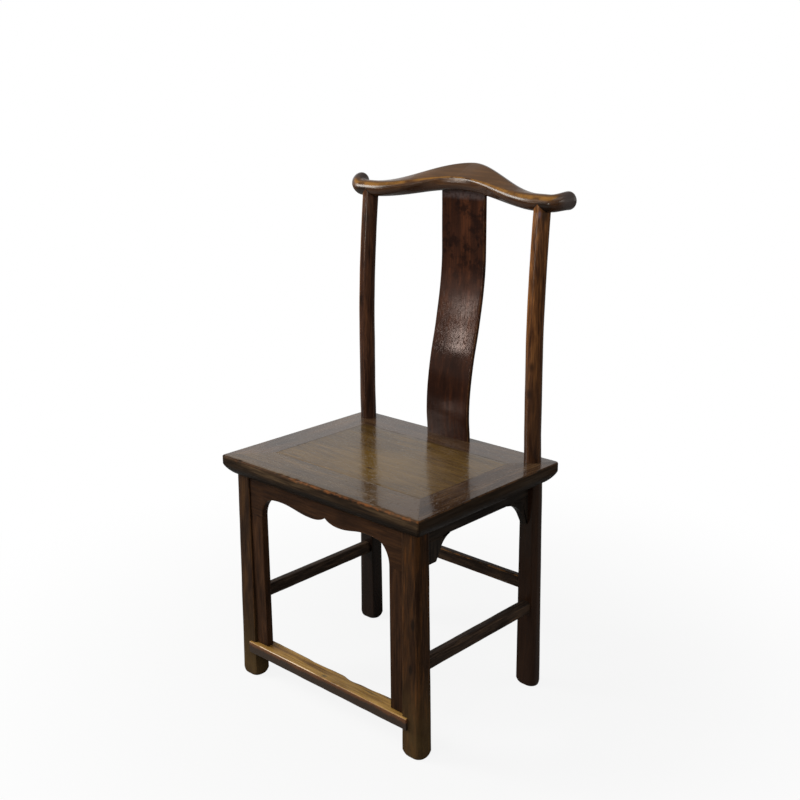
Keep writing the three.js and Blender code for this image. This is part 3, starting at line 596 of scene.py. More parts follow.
# Painted light: a golden side on the upper part of each post, the side that faces the window lamp, as if lit
# by it.
post_lit_gold = tone(130, 82, 36)
post_lit_gold_way = (-0.78, -0.62, 0)
post_lit_gold_heights = (620 * mm, 780 * mm)
# Painted shade: the rear legs are painted darker under the seat, and the corners under the crest take the
# same colour.
painted_shade_tone = tone(16, 11, 8)
under_seat_shade_heights = (seat_underside + 20 * mm, seat_underside - 10 * mm)
joint_dark = tone(14, 9, 7)
# Dark knots on the front of each post: offset from its middle, height and half lengths across and along
post_knots = {
    "right": in_mm((1, 619, 11, 18), (6, 672, 8, 14)),
    "left": in_mm((-3, 742, 7, 22)),
}
post_low_tone = tone(44, 28, 20)
post_low_heights = (740 * mm, 600 * mm)
# Painted light at the top of the right post, a grey sheen and, right of it, shade under the crest: offset
# from its middle under the crest, and half lengths
post_sheen_patch = in_mm((5.5, -15, -4), (4.5, 8, 11))
post_sheen_patch_tone = tone(84, 70, 78)
post_corner_shade = in_mm((13, -10, -4), (8, 10, 24))

for hand, side, seed in (("right", 1, 6.3), ("left", -1, 9.7)):
    foot = (foot_width[hand], rear_leg_foot_depth)
    rings = square_leg(
        rear_leg_inner, foot, rear_leg_top, lambda depth: rear_leg_front + depth, rear_leg_radii,
    )
    for radius, rise in post_roots:
        rings.append(post_ring(*post_middle(seat_top), radius, seat_underside + rise))
    for k in range(post_rings + 1):
        share = k / post_rings
        z = mix(seat_top - post_overlap, crest_low.z - post_overlap, share)
        collar = (post_seat_radius - post_radius) * math.exp(-max(0.0, z - seat_top) / post_collar)
        rings.append(post_ring(*post_middle(z), mix(post_radius, post_top_radius, share) + collar, z))
    for k in range(1, post_roof_steps + 1):
        z = crest_low.z - post_overlap + k * post_roof_step
        rings.append(post_ring(*post_middle(crest_low.z), post_top_radius, z, crest_middle_z))
    leg = skin(f"rear_leg_{hand}_wood", other_hand(rings, side))
    hand_worked(leg, rear_leg_wobble, wobble_span, seed)
    post_wood = old_wood(
        f"post_wood_{hand}", "z", post_tones[hand], leg_worn, seed, 0.18, 0.09, relief=0.05, patchy=0.35,
    )
    height = part_of(spot_on(post_wood), "Z")
    # Painted light: the upper post is painted golden on the side that faces the window lamp.
    gold = times(grade(facing(post_wood, post_lit_gold_way), 0.8, 0.97), grade(height, *post_lit_gold_heights))
    stain(post_wood, gold, post_lit_gold, 0.55)
    # Painted shade under the seat.
    stain(post_wood, grade(height, *under_seat_shade_heights), painted_shade_tone, 0.88)
    for off_middle, z, across, up in post_knots[hand]:
        place = (side * post_middle(z)[0] + off_middle, post_middle(z)[1] - post_radius, z)
        dab(post_wood, place, (across, across, up), joint_dark, 0.75, 0.1)
    if hand == "right":
        stain(post_wood, grade(height, *post_low_heights), post_low_tone, 0.5)
        post_top = Vector((post_top_x, post_middle(crest_low.z)[1], crest_low.z))
        # Painted sheen at the top of the right post, and painted shade right of it under the crest.
        dab(post_wood, post_top + Vector(post_sheen_patch[0]), post_sheen_patch[1], post_sheen_patch_tone, 0.7, 0.1)
        dab(post_wood, post_top + Vector(post_corner_shade[0]), post_corner_shade[1], painted_shade_tone, 0.75)
    scribe_line(post_wood, joint_dark)
    finish_piece(leg, post_wood, "leg_wood", f"rear_leg_{hand}", open_to_wear=sheltered)

# Side and rear stretchers: square rails with softened arrises, tenoned into the legs a little above
# shin height. The rear one is thinner and sits higher.
side_rail_low, side_rail_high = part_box("side_stretcher_right")
side_rail_radius = 7 * mm
side_rail_wobble = 0.8 * mm
rear_rail_low, rear_rail_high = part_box("rear_stretcher")
rear_rail_radius = 2.5 * mm
rear_rail_wobble = 0.6 * mm
rail_wobble_span = 40 * mm
rail_tenon = 6 * mm
rail_rings = 70
rail_tones = tones((26, 19, 15), (48, 38, 31), (68, 52, 39))
rail_worn = tone(112, 76, 42)


def sawn(grain, ends, count, section_at):
    """The rings of a piece that runs along X or Y, from its section at each place between its ends."""
    rings = []
    for k in range(count + 1):
        along = mix(*ends, k / count)
        ring = [(along, across, z) for across, z in section_at(along)]
        rings.append(ring if grain == "x" else [(across, along, z) for along, across, z in ring])
    return rings


side_section = rounded_rectangle(
    (side_rail_low.x, side_rail_high.x), (side_rail_low.z, side_rail_high.z), (side_rail_radius,) * 4,
)
side_ends = (front_leg_back - rail_tenon, rear_leg_front + rail_tenon)
for hand, side, seed in (("right", 1, 12.9), ("left", -1, 15.3)):
    rings = sawn("y", side_ends, rail_rings, lambda y: side_section)
    rail = skin(f"side_stretcher_{hand}_wood", other_hand(rings, side))
    hand_worked(rail, side_rail_wobble, rail_wobble_span, seed)
    rail_wood = old_wood(f"side_rail_wood_{hand}", "y", rail_tones, rail_worn, seed)
    finish_piece(rail, rail_wood, "leg_wood", f"side_stretcher_{hand}")

rear_section = rounded_rectangle(
    (rear_rail_low.y, rear_rail_high.y), (rear_rail_low.z, rear_rail_high.z), (rear_rail_radius,) * 4,
)
rear_ends = (-front_leg_inner - rail_tenon, front_leg_inner + rail_tenon)
rail = skin("rear_stretcher_wood", sawn("x", rear_ends, rail_rings, lambda x: rear_section))
hand_worked(rail, rear_rail_wobble, rail_wobble_span, 18.1)
rail_wood = old_wood("rear_rail_wood", "x", rail_tones, rail_worn, 18.1)
finish_piece(rail, rail_wood, "leg_wood", "rear_stretcher")

# Front foot rail: a broad low tread, lapped over the fronts of the legs. Feet have worn its lacquer through
# to yellow wood, dented it and left its back edge wavy.
tread_low, tread_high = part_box("front_foot_rail")
tread_radius = 3 * mm
tread_back_radius = 5 * mm
tread_lap_depth = 10.5 * mm
tread_lap_end = front_leg_inner + 14 * mm
tread_lap_radius = 1 * mm
tread_end_round = 0.6 * mm
tread_wobble = 1.0 * mm
tread_wobble_span = 32 * mm
tread_rings = 150
tread_steps = (10, 6)
tread_tones = tones((84, 57, 25), (130, 98, 48), (156, 122, 66))
tread_worn = tone(168, 128, 78)
tread_painted_highlight = tone(214, 190, 160)
tread_face = tone(84, 52, 29)
tread_face_low = tone(42, 31, 23)
tread_grey = tone(62, 54, 40)
tread_face_wobble = 14 * mm
tread_face_fade = 4 * mm
# The painted highlight along the rubbed front arris, a pale line: how far behind the front it fades, and its
# ends along X
tread_painted_highlight_behind = (4 * mm, 2 * mm)
tread_painted_highlight_x = (-190 * mm, -182 * mm, -45 * mm, -5 * mm)
# Wear of the back edge: depth and span of its waves, and hollows as place along X, half width and depth
tread_wave = (0.6 * mm, 18 * mm)
tread_hollows = in_mm((-52, 40, 2.4), (47, 18, 3.0), (76, 40, 3.2))
# Greyed dents and knots in the top: place along X, distance behind the front edge, and half lengths
tread_dents = in_mm(
    (-74, 38, 22, 4), (-82, 44, 9, 4), (-3, 8, 10, 6), (16, 42, 26, 14), (146, 33, 12, 4),
    (-190, 36, 30, 14), (60, 30, 40, 3), (110, 24, 30, 3),
)
tread_dent_depth = 20 * mm


def tread_section(x):
    """The tread's outline, whose worn back edge stands in from the full depth."""
    wave = tread_wave[0] * (1 + noise.noise(Vector((x / tread_wave[1], 0.3, 0))))
    worn = wave + sum(deep * math.exp(-((x - at) / wide) ** 2) for at, wide, deep in tread_hollows)
    radii = (tread_radius, tread_back_radius, tread_back_radius, tread_radius)
    return rounded_rectangle(
        (tread_low.y, tread_high.y - worn), (tread_low.z, tread_high.z), radii, tread_steps,
    )


rings = sawn("x", (-front_leg_inner, front_leg_inner), tread_rings, tread_section)
for end in (-1, 1):
    caps = []
    for x in (front_leg_inner, tread_lap_end - tread_end_round, tread_lap_end):
        inset = tread_end_round if x == tread_lap_end else 0
        section = rounded_rectangle(
            (tread_low.y + inset, tread_low.y + tread_lap_depth),
            (tread_low.z + inset, tread_high.z - inset),
            (tread_radius, tread_lap_radius, tread_lap_radius, tread_radius), tread_steps,
        )
        caps.append([(end * x, y, z) for y, z in section])
    rings = rings + caps if end > 0 else list(reversed(caps)) + rings
tread = skin("front_foot_rail_wood", rings)
hand_worked(tread, tread_wobble, tread_wobble_span, 21.7)
tread_wood = old_wood("tread_wood", "x", tread_tones, tread_worn, 21.7, 0.4, 0.15, 110, 0.3, 0.25)
for x, behind, along, across in tread_dents:
    place = (x, tread_low.y + behind, tread_high.z)
    dab(tread_wood, place, (along, across, tread_dent_depth), tread_grey, 0.7)
facing_up = facing(tread_wood, (0, 0, 1))
spot = spot_on(tread_wood)
face_height = calculate("ADD", part_of(spot, "Z"), times(cloud(spot, 30), tread_face_wobble))
low_face = grade(face_height, tread_high.z + tread_face_fade, tread_high.z - tread_face_fade)
stain(tread_wood, grade(facing_up, 0.8, 0.4), blend(low_face, tread_face, tread_face_low))
# Painted highlight: a pale line on the front arris of the tread's left part.
at_front = grade(part_of(spot, "Y"), *[tread_low.y + behind for behind in tread_painted_highlight_behind])
on_arris = plateau(facing_up, 0.55, 0.75, 0.85, 0.98)
highlight_line = times(times(at_front, on_arris), plateau(part_of(spot, "X"), *tread_painted_highlight_x))
stain(tread_wood, highlight_line, tread_painted_highlight, 0.8)
finish_piece(
    tread, tread_wood, "tread_wood", "front_foot_rail", open_to_wear=lambda spot: 0.3 if spot.x < 0 else 0.8,
)

# Front apron and long spandrels: thin boards between the legs under the seat, their lower edge sawn to two
# shallow lobes that meet in a cusp. They are grooved into the legs.
apron_low, apron_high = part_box("front_apron")
spandrel_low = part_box("front_spandrel_right")[0]
apron_corner_curve = (19.5 * mm, 41 * mm)
apron_haunch = 56 * mm
apron_band = 30.5 * mm
lobe_reach = 37.5 * mm
lobe_dip = 9.2 * mm
cusp_reach = 12 * mm
cusp_rise = 1.5 * mm
cusp_place = 7 * mm
board_gap = 0.1 * mm
board_round = 1.3 * mm
board_fade = 4 * mm
joint_reach = 0.5 * mm
board_tones = tones((32, 20, 13), (46, 29, 18), (58, 37, 22))
board_worn = tone(84, 56, 33)
curve_steps = 14


def curve(*handles):
    """Points along a Bezier curve of any degree, without its last one."""
    points = []
    for k in range(curve_steps):
        row = [Vector(handle) for handle in handles]
        while len(row) > 1:
            row = [a.lerp(b, k / curve_steps) for a, b in zip(row, row[1:])]
        points.append(tuple(row[0]))
    return points


def oblong(u, z):
    """The outline of a plain board between its two ends and its two edges."""
    return [(u[0], z[0]), (u[1], z[0]), (u[1], z[1]), (u[0], z[1])]


def fit_board(node, outline, place, wood, slot, open_to_wear, in_joint=None):
    """A board sawn to an outline. place(u, v, back) says where its points lie, front and back."""
    shape = bmesh.new()
    front = [shape.verts.new(place(u, v, False)) for u, v in outline]
    back = [shape.verts.new(place(u, v, True)) for u, v in outline]
    shape.faces.new(front)
    shape.faces.new(back)
    for k in range(len(outline)):
        after = (k + 1) % len(outline)
        shape.faces.new((front[k], front[after], back[after], back[k]))
    bmesh.ops.recalc_face_normals(shape, faces=shape.faces)
    rims = [
        edge for edge in shape.edges if edge.calc_face_angle(0.0) > math.radians(50)
        and not (in_joint and all(in_joint(vertex.co) for vertex in edge.verts))
    ]
    bmesh.ops.bevel(
        shape, geom=rims, offset=board_round, segments=3, profile=0.5, affect="EDGES", clamp_overlap=True,
    )
    broad = sorted(shape.faces, key=lambda face: -face.calc_area())[:2]
    for face in broad:
        bmesh.ops.inset_individual(shape, faces=[face], thickness=board_fade, use_even_offset=True)
    data = bpy.data.meshes.new(f"{node}_wood")
    shape.to_mesh(data)
    shape.free()
    finish_piece(put(f"{node}_wood", data), wood, slot, node, open_to_wear=open_to_wear)


def flipped(point):
    return (-point[0], point[1])


half_apron = front_leg_inner - board_gap
band_z = apron_high.z - apron_band
lobe_z = band_z - lobe_dip
apron_foot = (spandrel_low.x, apron_low.z)
knee = (spandrel_low.x - apron_corner_curve[0], apron_low.z + apron_corner_curve[1])
haunch = (spandrel_low.x - apron_haunch, band_z)
foot_handle = (spandrel_low.x, mix(apron_low.z, knee[1], 0.5))
knee_handle = (mix(knee[0], spandrel_low.x, 0.5), mix(apron_low.z, knee[1], 0.83))
haunch_handle = (mix(haunch[0], knee[0], 0.67), band_z)
right_lobe = (cusp_place + lobe_reach, lobe_z)
left_lobe = (cusp_place - lobe_reach, lobe_z)
cusp = (cusp_place, band_z + cusp_rise)
apron_outline = [(-half_apron, apron_high.z), (-half_apron, apron_low.z)]
for handles in (
    [flipped(point) for point in (apron_foot, foot_handle, knee_handle, knee)],
    [flipped(point) for point in (knee, haunch_handle, haunch)],
    (flipped(haunch), (mix(-haunch[0], left_lobe[0], 0.4), band_z),
     (mix(left_lobe[0], -haunch[0], 0.4), lobe_z), left_lobe),
    (left_lobe, (cusp[0] - cusp_reach, lobe_z), cusp),
    (cusp, (cusp[0] + cusp_reach, lobe_z), right_lobe),
    (right_lobe, (mix(right_lobe[0], haunch[0], 0.4), lobe_z),
     (mix(haunch[0], right_lobe[0], 0.4), band_z), haunch),
    (haunch, haunch_handle, knee),
    (knee, knee_handle, foot_handle, apron_foot),
):
    apron_outline += curve(*handles)
apron_outline += [apron_foot, (half_apron, apron_low.z), (half_apron, apron_high.z)]
apron_depth = (apron_low.y, apron_high.y)


def front_place(x, z, back):
    return (x, apron_depth[back], z)


def in_spandrel_joint(spot):
    """Where the apron and the spandrels meet, they are not rounded."""
    return abs(spot.z - apron_low.z) < joint_reach


wood = old_wood("apron_wood", "x", board_tones, board_worn, 24.2)
fit_board(
    "front_apron", apron_outline, front_place, wood, "leg_wood",
    lambda spot: apron_low.z + board_fade < spot.z < band_z + board_round, in_spandrel_joint,
)
for hand, side, seed in (("right", 1, 27.6), ("left", -1, 30.8)):
    outline = oblong((side * spandrel_low.x, side * half_apron), (spandrel_low.z, apron_low.z - board_gap))
    wood = old_wood(f"spandrel_wood_{hand}", "z", board_tones, board_worn, seed)
    fit_board(
        f"front_spandrel_{hand}", outline, front_place, wood, "leg_wood", sheltered, in_spandrel_joint,
    )

# Side and back aprons with their brackets: plain narrow boards under the seat, and at each end a bracket
# with a hollow curve. They are painted darker, as the shade that falls there, because light seldom reaches
# them; hands seldom do either.
# Painted shade: these colours are darker than those of the front boards.
inner_tones = tones((22, 18, 16), (36, 31, 27), (48, 39, 32))
inner_worn = tone(50, 36, 26)
inner_apron_band = 30.3 * mm
inner_gap = 0.2 * mm
bracket_sheltered = 3 * mm
# The bend in a bracket's outline, as reach from the leg and drop from the apron's top, and its foot's reach
bracket_knee = {"front": (48 * mm, 60 * mm, 40 * mm), "rear": (17 * mm, 61 * mm, 3.5 * mm)}
left_bracket_share = 0.5


def bracket_outline(leg, direction, reach, z, kind, share=1.0):
    """Along the apron, down the hollow curve to the knee and on to the foot of the bracket on the leg."""
    knee_reach, knee_drop, foot = bracket_knee[kind]
    knee_z = z[1] + inner_apron_band - knee_drop
    knee = (leg + direction * knee_reach * share, knee_z)
    handle = (leg + direction * mix(knee_reach * share, reach, 0.33), mix(knee_z, z[1], 0.83))
    hollow = curve((leg + direction * reach, z[1]), handle, knee)
    return [(leg, z[1])] + hollow + [knee, (leg + direction * foot * share, z[0]), (leg, z[0])]


inner_seed = 33.0
inner_seed_step = 2.3
for hand, side in (("right", 1), ("left", -1)):
    low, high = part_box("side_apron_right")

    def side_place(y, z, back):
        return (side * (low.x if back else high.x), y, z)

    ends = (front_leg_back + inner_gap, rear_leg_front - inner_gap)
    outline = oblong(ends, (low.z, high.z))
    inner_seed += inner_seed_step
    wood = old_wood(f"side_apron_wood_{hand}", "y", inner_tones, inner_worn, inner_seed)
    fit_board(f"side_apron_{hand}", outline, side_place, wood, "inner_wood", sheltered)
    for kind in ("front", "rear"):
        node = f"side_{kind}_spandrel_{hand}"
        box_low, box_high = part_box(node)
        leg_y, direction = (ends[0], 1) if kind == "front" else (ends[1], -1)
        reach = box_high.y - leg_y if kind == "front" else leg_y - box_low.y
        share = left_bracket_share if node == "side_front_spandrel_left" else 1.0
        outline = bracket_outline(leg_y, direction, reach, (box_low.z, box_high.z), kind, share)
        inner_seed += inner_seed_step
        wood = old_wood(f"{node}_finish", "z", inner_tones, inner_worn, inner_seed)
        rubbed = (box_low.y + bracket_sheltered, box_high.y - bracket_sheltered)
        fit_board(
            node, outline, side_place, wood, "inner_wood", lambda spot: rubbed[0] < spot.y < rubbed[1],
        )

low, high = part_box("back_apron")
back_depth = (high.y, low.y)
outline = oblong((-half_apron, half_apron), (low.z, high.z))
wood = old_wood("back_apron_finish", "x", inner_tones, inner_worn, 51.0)
fit_board(
    "back_apron", outline, lambda x, z, back: (x, back_depth[back], z), wood, "inner_wood", sheltered,
)
for hand, side, seed in (("right", 1, 54.0), ("left", -1, 57.0)):
    box_low, box_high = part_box("back_spandrel_right")
    outline = bracket_outline(half_apron, -1, half_apron - box_low.x, (box_low.z, box_high.z), "rear")
    wood = old_wood(f"back_spandrel_finish_{hand}", "z", inner_tones, inner_worn, seed)
    fit_board(
        f"back_spandrel_{hand}", outline, lambda x, z, back: (side * x, back_depth[back], z), wood,
        "inner_wood", exposed,
    )

# Seat frame: four members mitred at the corners and rounded underneath, with the lacquer rubbed to a gloss.
# The front arris is worn to orange wood and chipped where legs rub over it.
seat_right_excess = 6 * mm
seat_low = Vector((-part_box("seat_frame_right")[1].x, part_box("seat_frame_front")[0].y))
seat_high = Vector((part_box("seat_frame_right")[1].x + seat_right_excess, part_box("seat_frame_back")[1].y))
member_side = 70 * mm
member_front = 82 * mm
member_back = 75 * mm
edge_round = (22 * mm, 24 * mm)
edge_power = 1.35
arris = 2.4 * mm
arris_steps = 3
front_plan_radius = 5 * mm
rear_plan_radius = 9 * mm
plan_steps = 4
edge_steps = 9
member_step = 3.5 * mm
joint_gap = 0.03 * mm
# Heights inside the groove for the panel, as drops from the seat's top and rises from its underside
groove_drops = (0.4 * mm, 6 * mm)
groove_rise = 1 * mm
front_tones = tones((53, 37, 19), (70, 51, 27), (85, 64, 35))
frame_tones = tones((45, 30, 20), (65, 46, 30), (84, 62, 40))
front_to_frame_x = (90 * mm, 235 * mm)
edge_deep = tone(22, 16, 11)
edge_body = tone(42, 31, 21)
edge_glow = tone(68, 53, 37)
edge_glow_faint = tone(50, 41, 33)
# Painted shade where the seat's edges turn under.
edge_shade = tone(20, 15, 11)
edge_shade_heights = (seat_underside + 28 * mm, seat_underside + 12 * mm)
edge_worn = tone(116, 70, 35)
edge_worn_faint = tone(84, 56, 34)
top_tilt = 0.97
# Chips along the front arris: place along X, half width and depth
chips = in_mm(
    (-205, 5, 1.5), (-88, 5, 1.8), (-66, 7, 1.6), (-41, 6, 2.4), (62, 5, 1.8), (191, 8, 1.4), (241, 6, 1.6),
)
chip_reach = 6 * mm
arris_wave = (0.9 * mm, 11 * mm)
rubbed_reach = 8 * mm
rubbed_drop = 4 * mm
rubbed_front = (0.35, 0.85)
rubbed_side = 0.8
worn_band_wobble = 9 * mm
worn_band_soft = 0.5 * mm


def frame_profile():
    """Insets from the side, the front and the back edge of the seat, with heights, once round a member."""
    points = []
    for k in range(edge_steps + 1):
        angle = math.pi / 2 * k / edge_steps
        inset = edge_round[0] * (1 - math.sin(angle) ** (2 / edge_power))
        rise = edge_round[1] * (1 - max(0.0, math.cos(angle)) ** (2 / edge_power))
        points.append((inset, inset, inset, seat_underside + rise))
    for share in (0.33, 0.66, 1):
        z = mix(seat_underside + edge_round[1], seat_top - arris, share)
        points.append((0, 0, 0, z))
    for k in range(1, arris_steps + 1):
        angle = math.pi / 2 * k / arris_steps
        inset = arris * (1 - math.cos(angle))
        points.append((inset, inset, inset, seat_top - arris + arris * math.sin(angle)))
    for share in (0.06, 0.12, 0.25, 0.4, 0.55, 0.7, 0.85, 0.96, 0.995):
        points.append((member_side * share, member_front * share, member_back * share, seat_top))
    heights = [seat_top - drop for drop in groove_drops] + [seat_underside + groove_rise, seat_underside]
    for z in heights:
        points.append((member_side, member_front, member_back, z))
    halfway = [mix(edge_round[0], width, 0.5) for width in (member_side, member_front, member_back)]
    points.append((*halfway, seat_underside))
    return points


def corner(point, east, north):
    """Where a profile point passes a corner of the seat, without the corner's rounding."""
    side, front, back, z = point
    x = seat_high.x - side if east else seat_low.x + side
    y = seat_high.y - back if north else seat_low.y + front
    return Vector((x, y))


def frame_member(name, start, end):
    """One member between two corners, each given as (east, north), followed anticlockwise."""
    profile = frame_profile()
    length = (corner(profile[-2], *end) - corner(profile[-2], *start)).length
    straight = round(length / member_step)
    stations = [(-1, k / plan_steps) for k in range(plan_steps)]
    stations += [(0, k / straight) for k in range(straight + 1)]
    stations += [(1, k / plan_steps) for k in range(1, plan_steps + 1)]
    rings = []
    for part, share in stations:
        ring = []
        for point in profile:
            here = corner(point, *start)
            there = corner(point, *end)
            run = (there - here).normalized()
            out = Vector((run.y, -run.x))
            left = 1 - min(1.0, point[0] / member_side)
            start_radius, end_radius = [
                (rear_plan_radius if north else front_plan_radius) * left for east, north in (start, end)
            ]
            radius = start_radius if part < 0 else end_radius
            if part == 0:
                place = (here + run * start_radius).lerp(there - run * end_radius, share)
            else:
                turn = math.radians(45) * (1 - share if part < 0 else share)
                middle = (here if part < 0 else there) - part * run * radius - out * radius
                place = middle + part * run * radius * math.sin(turn) + out * radius * math.cos(turn)
            if (part, share) in ((-1, 0), (1, 1)):
                place = place - part * run * joint_gap
            ring.append((place.x, place.y, point[3]))
        rings.append(ring)
    return skin(name, rings)


def chip(piece):
    """Breaks small pieces out of the front arris and wears the rest of it unevenly."""
    for vertex in piece.data.vertices:
        from_arris = math.hypot(vertex.co.y - seat_low.y, vertex.co.z - seat_top)
        near = 1 - min(1.0, from_arris / chip_reach)
        if near > 0:
            bite = arris_wave[0] * (1 + noise.noise(Vector((vertex.co.x / arris_wave[1], 5.1, 0))))
            bite += sum(
                deep * max(0.0, 1 - abs(vertex.co.x - at) / wide) ** 0.7 for at, wide, deep in chips
            )
            vertex.co += Vector((0, 0.75, -0.75)) * bite * near


def arris_wear(spot):
    """How much of the seat's upper arris is rubbed at a place, most on the right half of the front."""
    inside = min(
        spot.x - seat_low.x, seat_high.x - spot.x, spot.y - seat_low.y, seat_high.y - spot.y,
    )
    if inside > rubbed_reach or spot.z < seat_top - rubbed_drop:
        return 0
    if spot.y - seat_low.y > rubbed_reach:
        return rubbed_side
    return mix(*rubbed_front, ease((spot.x - chips[1][0]) / (chips[3][0] - chips[1][0])))


def edge_wood(name, grain, seed, glow, worn):
    """The duller, streaky finish of the seat's edges, with painted shade where they turn under."""
    wood = old_wood(name, grain, (edge_deep, edge_body, glow), worn, seed, 0.45, bands=200, relief=0.15)
    under = grade(part_of(spot_on(wood), "Z"), *edge_shade_heights)
    stain(wood, under, edge_shade, 0.8)
    return wood


def worn_band(wood):
    """The band under the front arris where legs have rubbed through to orange wood, wobbling in width."""
    spot = spot_on(wood)
    wobble = times(cloud(spot, 55, roughness=0.7), worn_band_wobble)
    height = calculate("ADD", part_of(spot, "Z"), wobble)
    band = grade(height, seat_top - worn_band_soft, seat_top + worn_band_soft)
    along = grade(part_of(spot, "X"), chips[2][0], chips[3][0], 0.15, 1.0)
    broken = grade(cloud(spot, 80, roughness=0.7), 0.42, 0.62)
    stain(wood, times(times(band, along), broken), edge_worn, 0.6)


south_west, south_east, north_east, north_west = (False, False), (True, False), (True, True), (False, True)
for node, start, end, grain, seed, shine in (
    ("seat_frame_front", south_west, south_east, "x", 60.0, 0.18),
    ("seat_frame_right", south_east, north_east, "y", 63.0, 0.11),
    ("seat_frame_back", north_east, north_west, "x", 66.0, 0.2),
    ("seat_frame_left", north_west, south_west, "y", 69.0, 0.22),
):
    in_front = node == "seat_frame_front"
    worn = edge_worn if in_front else edge_worn_faint
    colours = front_tones if in_front else frame_tones
    member = frame_member(f"{node}_wood", start, end)
    wood = old_wood(f"{node}_finish", grain, colours, worn, seed, 0.1, shine, 200, 0.12, pits=3.0)
    edge = edge_wood(f"{node}_edge", grain, seed, edge_glow if in_front else edge_glow_faint, worn)
    if in_front:
        chip(member)
        stain(wood, grade(part_of(spot_on(wood), "X"), *front_to_frame_x), frame_tones[1], 0.75)
        worn_band(edge)
    finish_piece(member, wood, "seat_wood", node, open_to_wear=arris_wear)
    member.data.materials.append(edge)
    for face in member.data.polygons:
        face.material_index = int(face.normal.z < top_tilt)

# Seat panel: one thin board that floats in grooves of the frame, its top just below the frame's. It is of a
# paler wood with the grain from side to side, as glossy as the frame, and rubbed yellow in the middle.
panel_gap = 0.1 * mm
panel_drop = 0.15 * mm
panel_low, panel_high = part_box("seat_panel")
panel_high.z = seat_top - panel_drop
panel_x = (seat_low.x + member_side + panel_gap, seat_high.x - member_side - panel_gap)
panel_y = (seat_low.y + member_front + panel_gap, seat_high.y - member_back - panel_gap)
panel_radius = 0.4 * mm
panel_wobble = 0.25 * mm
panel_wobble_span = 70 * mm
panel_rows = 40
panel_steps = (30, 2)
panel_tones = tones((60, 43, 21), (73, 54, 26), (86, 65, 32))
panel_gold = tone(108, 82, 30)
# Marks on the panel: its place along X and Y, and half lengths
panel_rubbed = in_mm((25, -70), (170, 120, 6))
panel_knot = in_mm((15.4, -96.8), (18, 6, 6))

section = rounded_rectangle(panel_y, (panel_low.z, panel_high.z), (panel_radius,) * 4, panel_steps)
panel = skin("seat_panel_wood", sawn("x", panel_x, panel_rows, lambda x: section))
hand_worked(panel, panel_wobble, panel_wobble_span, 72.0)
panel_wood = old_wood(
    "panel_finish", "x", panel_tones, panel_tones[2], 72.0, 0.08, 0.135, 230, 0.12, 0.28, 3.0,
)
dab(panel_wood, (*panel_rubbed[0], panel_high.z), panel_rubbed[1], panel_gold, 0.35)
dab(panel_wood, (*panel_knot[0], panel_high.z), panel_knot[1], frame_tones[0], 0.8)
finish_piece(panel, panel_wood, "panel_wood", "seat_panel", open_to_wear=sheltered)

# Battens and pegs: two dovetailed battens hold the panel flat from below, and round pegs lock the corner
# tenons of the frame and the posts in the crest. All are plain unpolished wood.
hidden_wood = old_wood("hidden_finish", "y", inner_tones, inner_tones[2], 75.0, 0.55, 0.2)
peg_wood = old_wood("peg_finish", "z", rail_tones, rail_worn, 78.0, 0.5, 0.2)
for node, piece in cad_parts.items():
    if "batten" in node or "peg" in node:
        wood = peg_wood if "peg" in node else hidden_wood
        piece.material_slots[0].material = wood

# Splat: one thin board bent to an S, let into the seat frame and the crest rail. Backs have polished it,
# most of all where it leans back.
splat_low, splat_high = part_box("back_splat")
splat_thickness = 8.5 * mm
splat_extra_width = 1 * mm
splat_front_y = post_seat[1] + 4 * mm
splat_z = (seat_top - 8 * mm, splat_high.z - 4 * mm)
splat_waist = (2.9 * mm, 49 * mm)
splat_sweep = (48.4 * mm, 330 * mm)
splat_radius = 2.6 * mm
splat_crown = 0.8 * mm
# A slight bulge that the board has where backs lean on it: its height, depth and half length
splat_bulge = (700 * mm, 0.8 * mm, 30 * mm)
splat_wobble = 0.4 * mm
splat_wobble_span = 60 * mm
splat_rings = 90
splat_steps = (24, 2)
splat_tones = tones((34, 19, 13), (42, 23, 15), (58, 32, 19))
splat_fleck = tone(20, 11, 9)
splat_tint = tone(255, 222, 205)
splat_mottled = (760 * mm, 860 * mm)
splat_dust = tone(74, 64, 62)
splat_dust_heights = (963.5 * mm, 972.5 * mm)
splat_dust_wobble = 4 * mm
# Dark flecks on the front face: place along X, height and half lengths across and along
splat_flecks = in_mm((21, 841, 3, 7), (8, 864, 3, 5), (-31, 870, 4, 4), (41, 877, 4, 8))


def splat_face(z):
    """Where the front face of the splat is at a height."""
    up = z - seat_top
    waist = splat_waist[0] * ease(up / splat_waist[1])
    bulge = splat_bulge[1] * math.exp(-((z - splat_bulge[0]) / splat_bulge[2]) ** 2)
    return splat_front_y - waist + bulge + splat_sweep[0] * ease((up - splat_waist[1]) / splat_sweep[1])


rings = []
for k in range(splat_rings + 1):
    z = mix(*splat_z, k / splat_rings)
    section = rounded_rectangle(
        (splat_low.x - splat_extra_width, splat_high.x + splat_extra_width),
        (splat_face(z), splat_face(z) + splat_thickness), (splat_radius,) * 4, splat_steps,
    )
    rings.append([(x, y + splat_crown * (x / splat_high.x) ** 2, z) for x, y in section])
splat = skin("back_splat_wood", rings)
hand_worked(splat, splat_wobble, splat_wobble_span, 81.0)
splat_wood = old_wood("splat_finish", "z", splat_tones, leg_worn, 81.0, 0.12, 0.1, 130, 0.2, 0.35)
splat_wood.node_tree.nodes["Principled BSDF"].inputs["Specular Tint"].default_value = splat_tint
for x, z, across, up in splat_flecks:
    dab(splat_wood, (x, splat_face(z), z), (across, across, up), splat_fleck)
spot = spot_on(splat_wood)
height = part_of(spot, "Z")
mottles = times(grade(cloud(spot, 38, 5, 0.7), 0.46, 0.62), grade(height, *splat_mottled, 0.25, 0.8))
stain(splat_wood, mottles, splat_fleck)
dust_height = calculate("ADD", height, times(cloud(spot, 60), splat_dust_wobble))
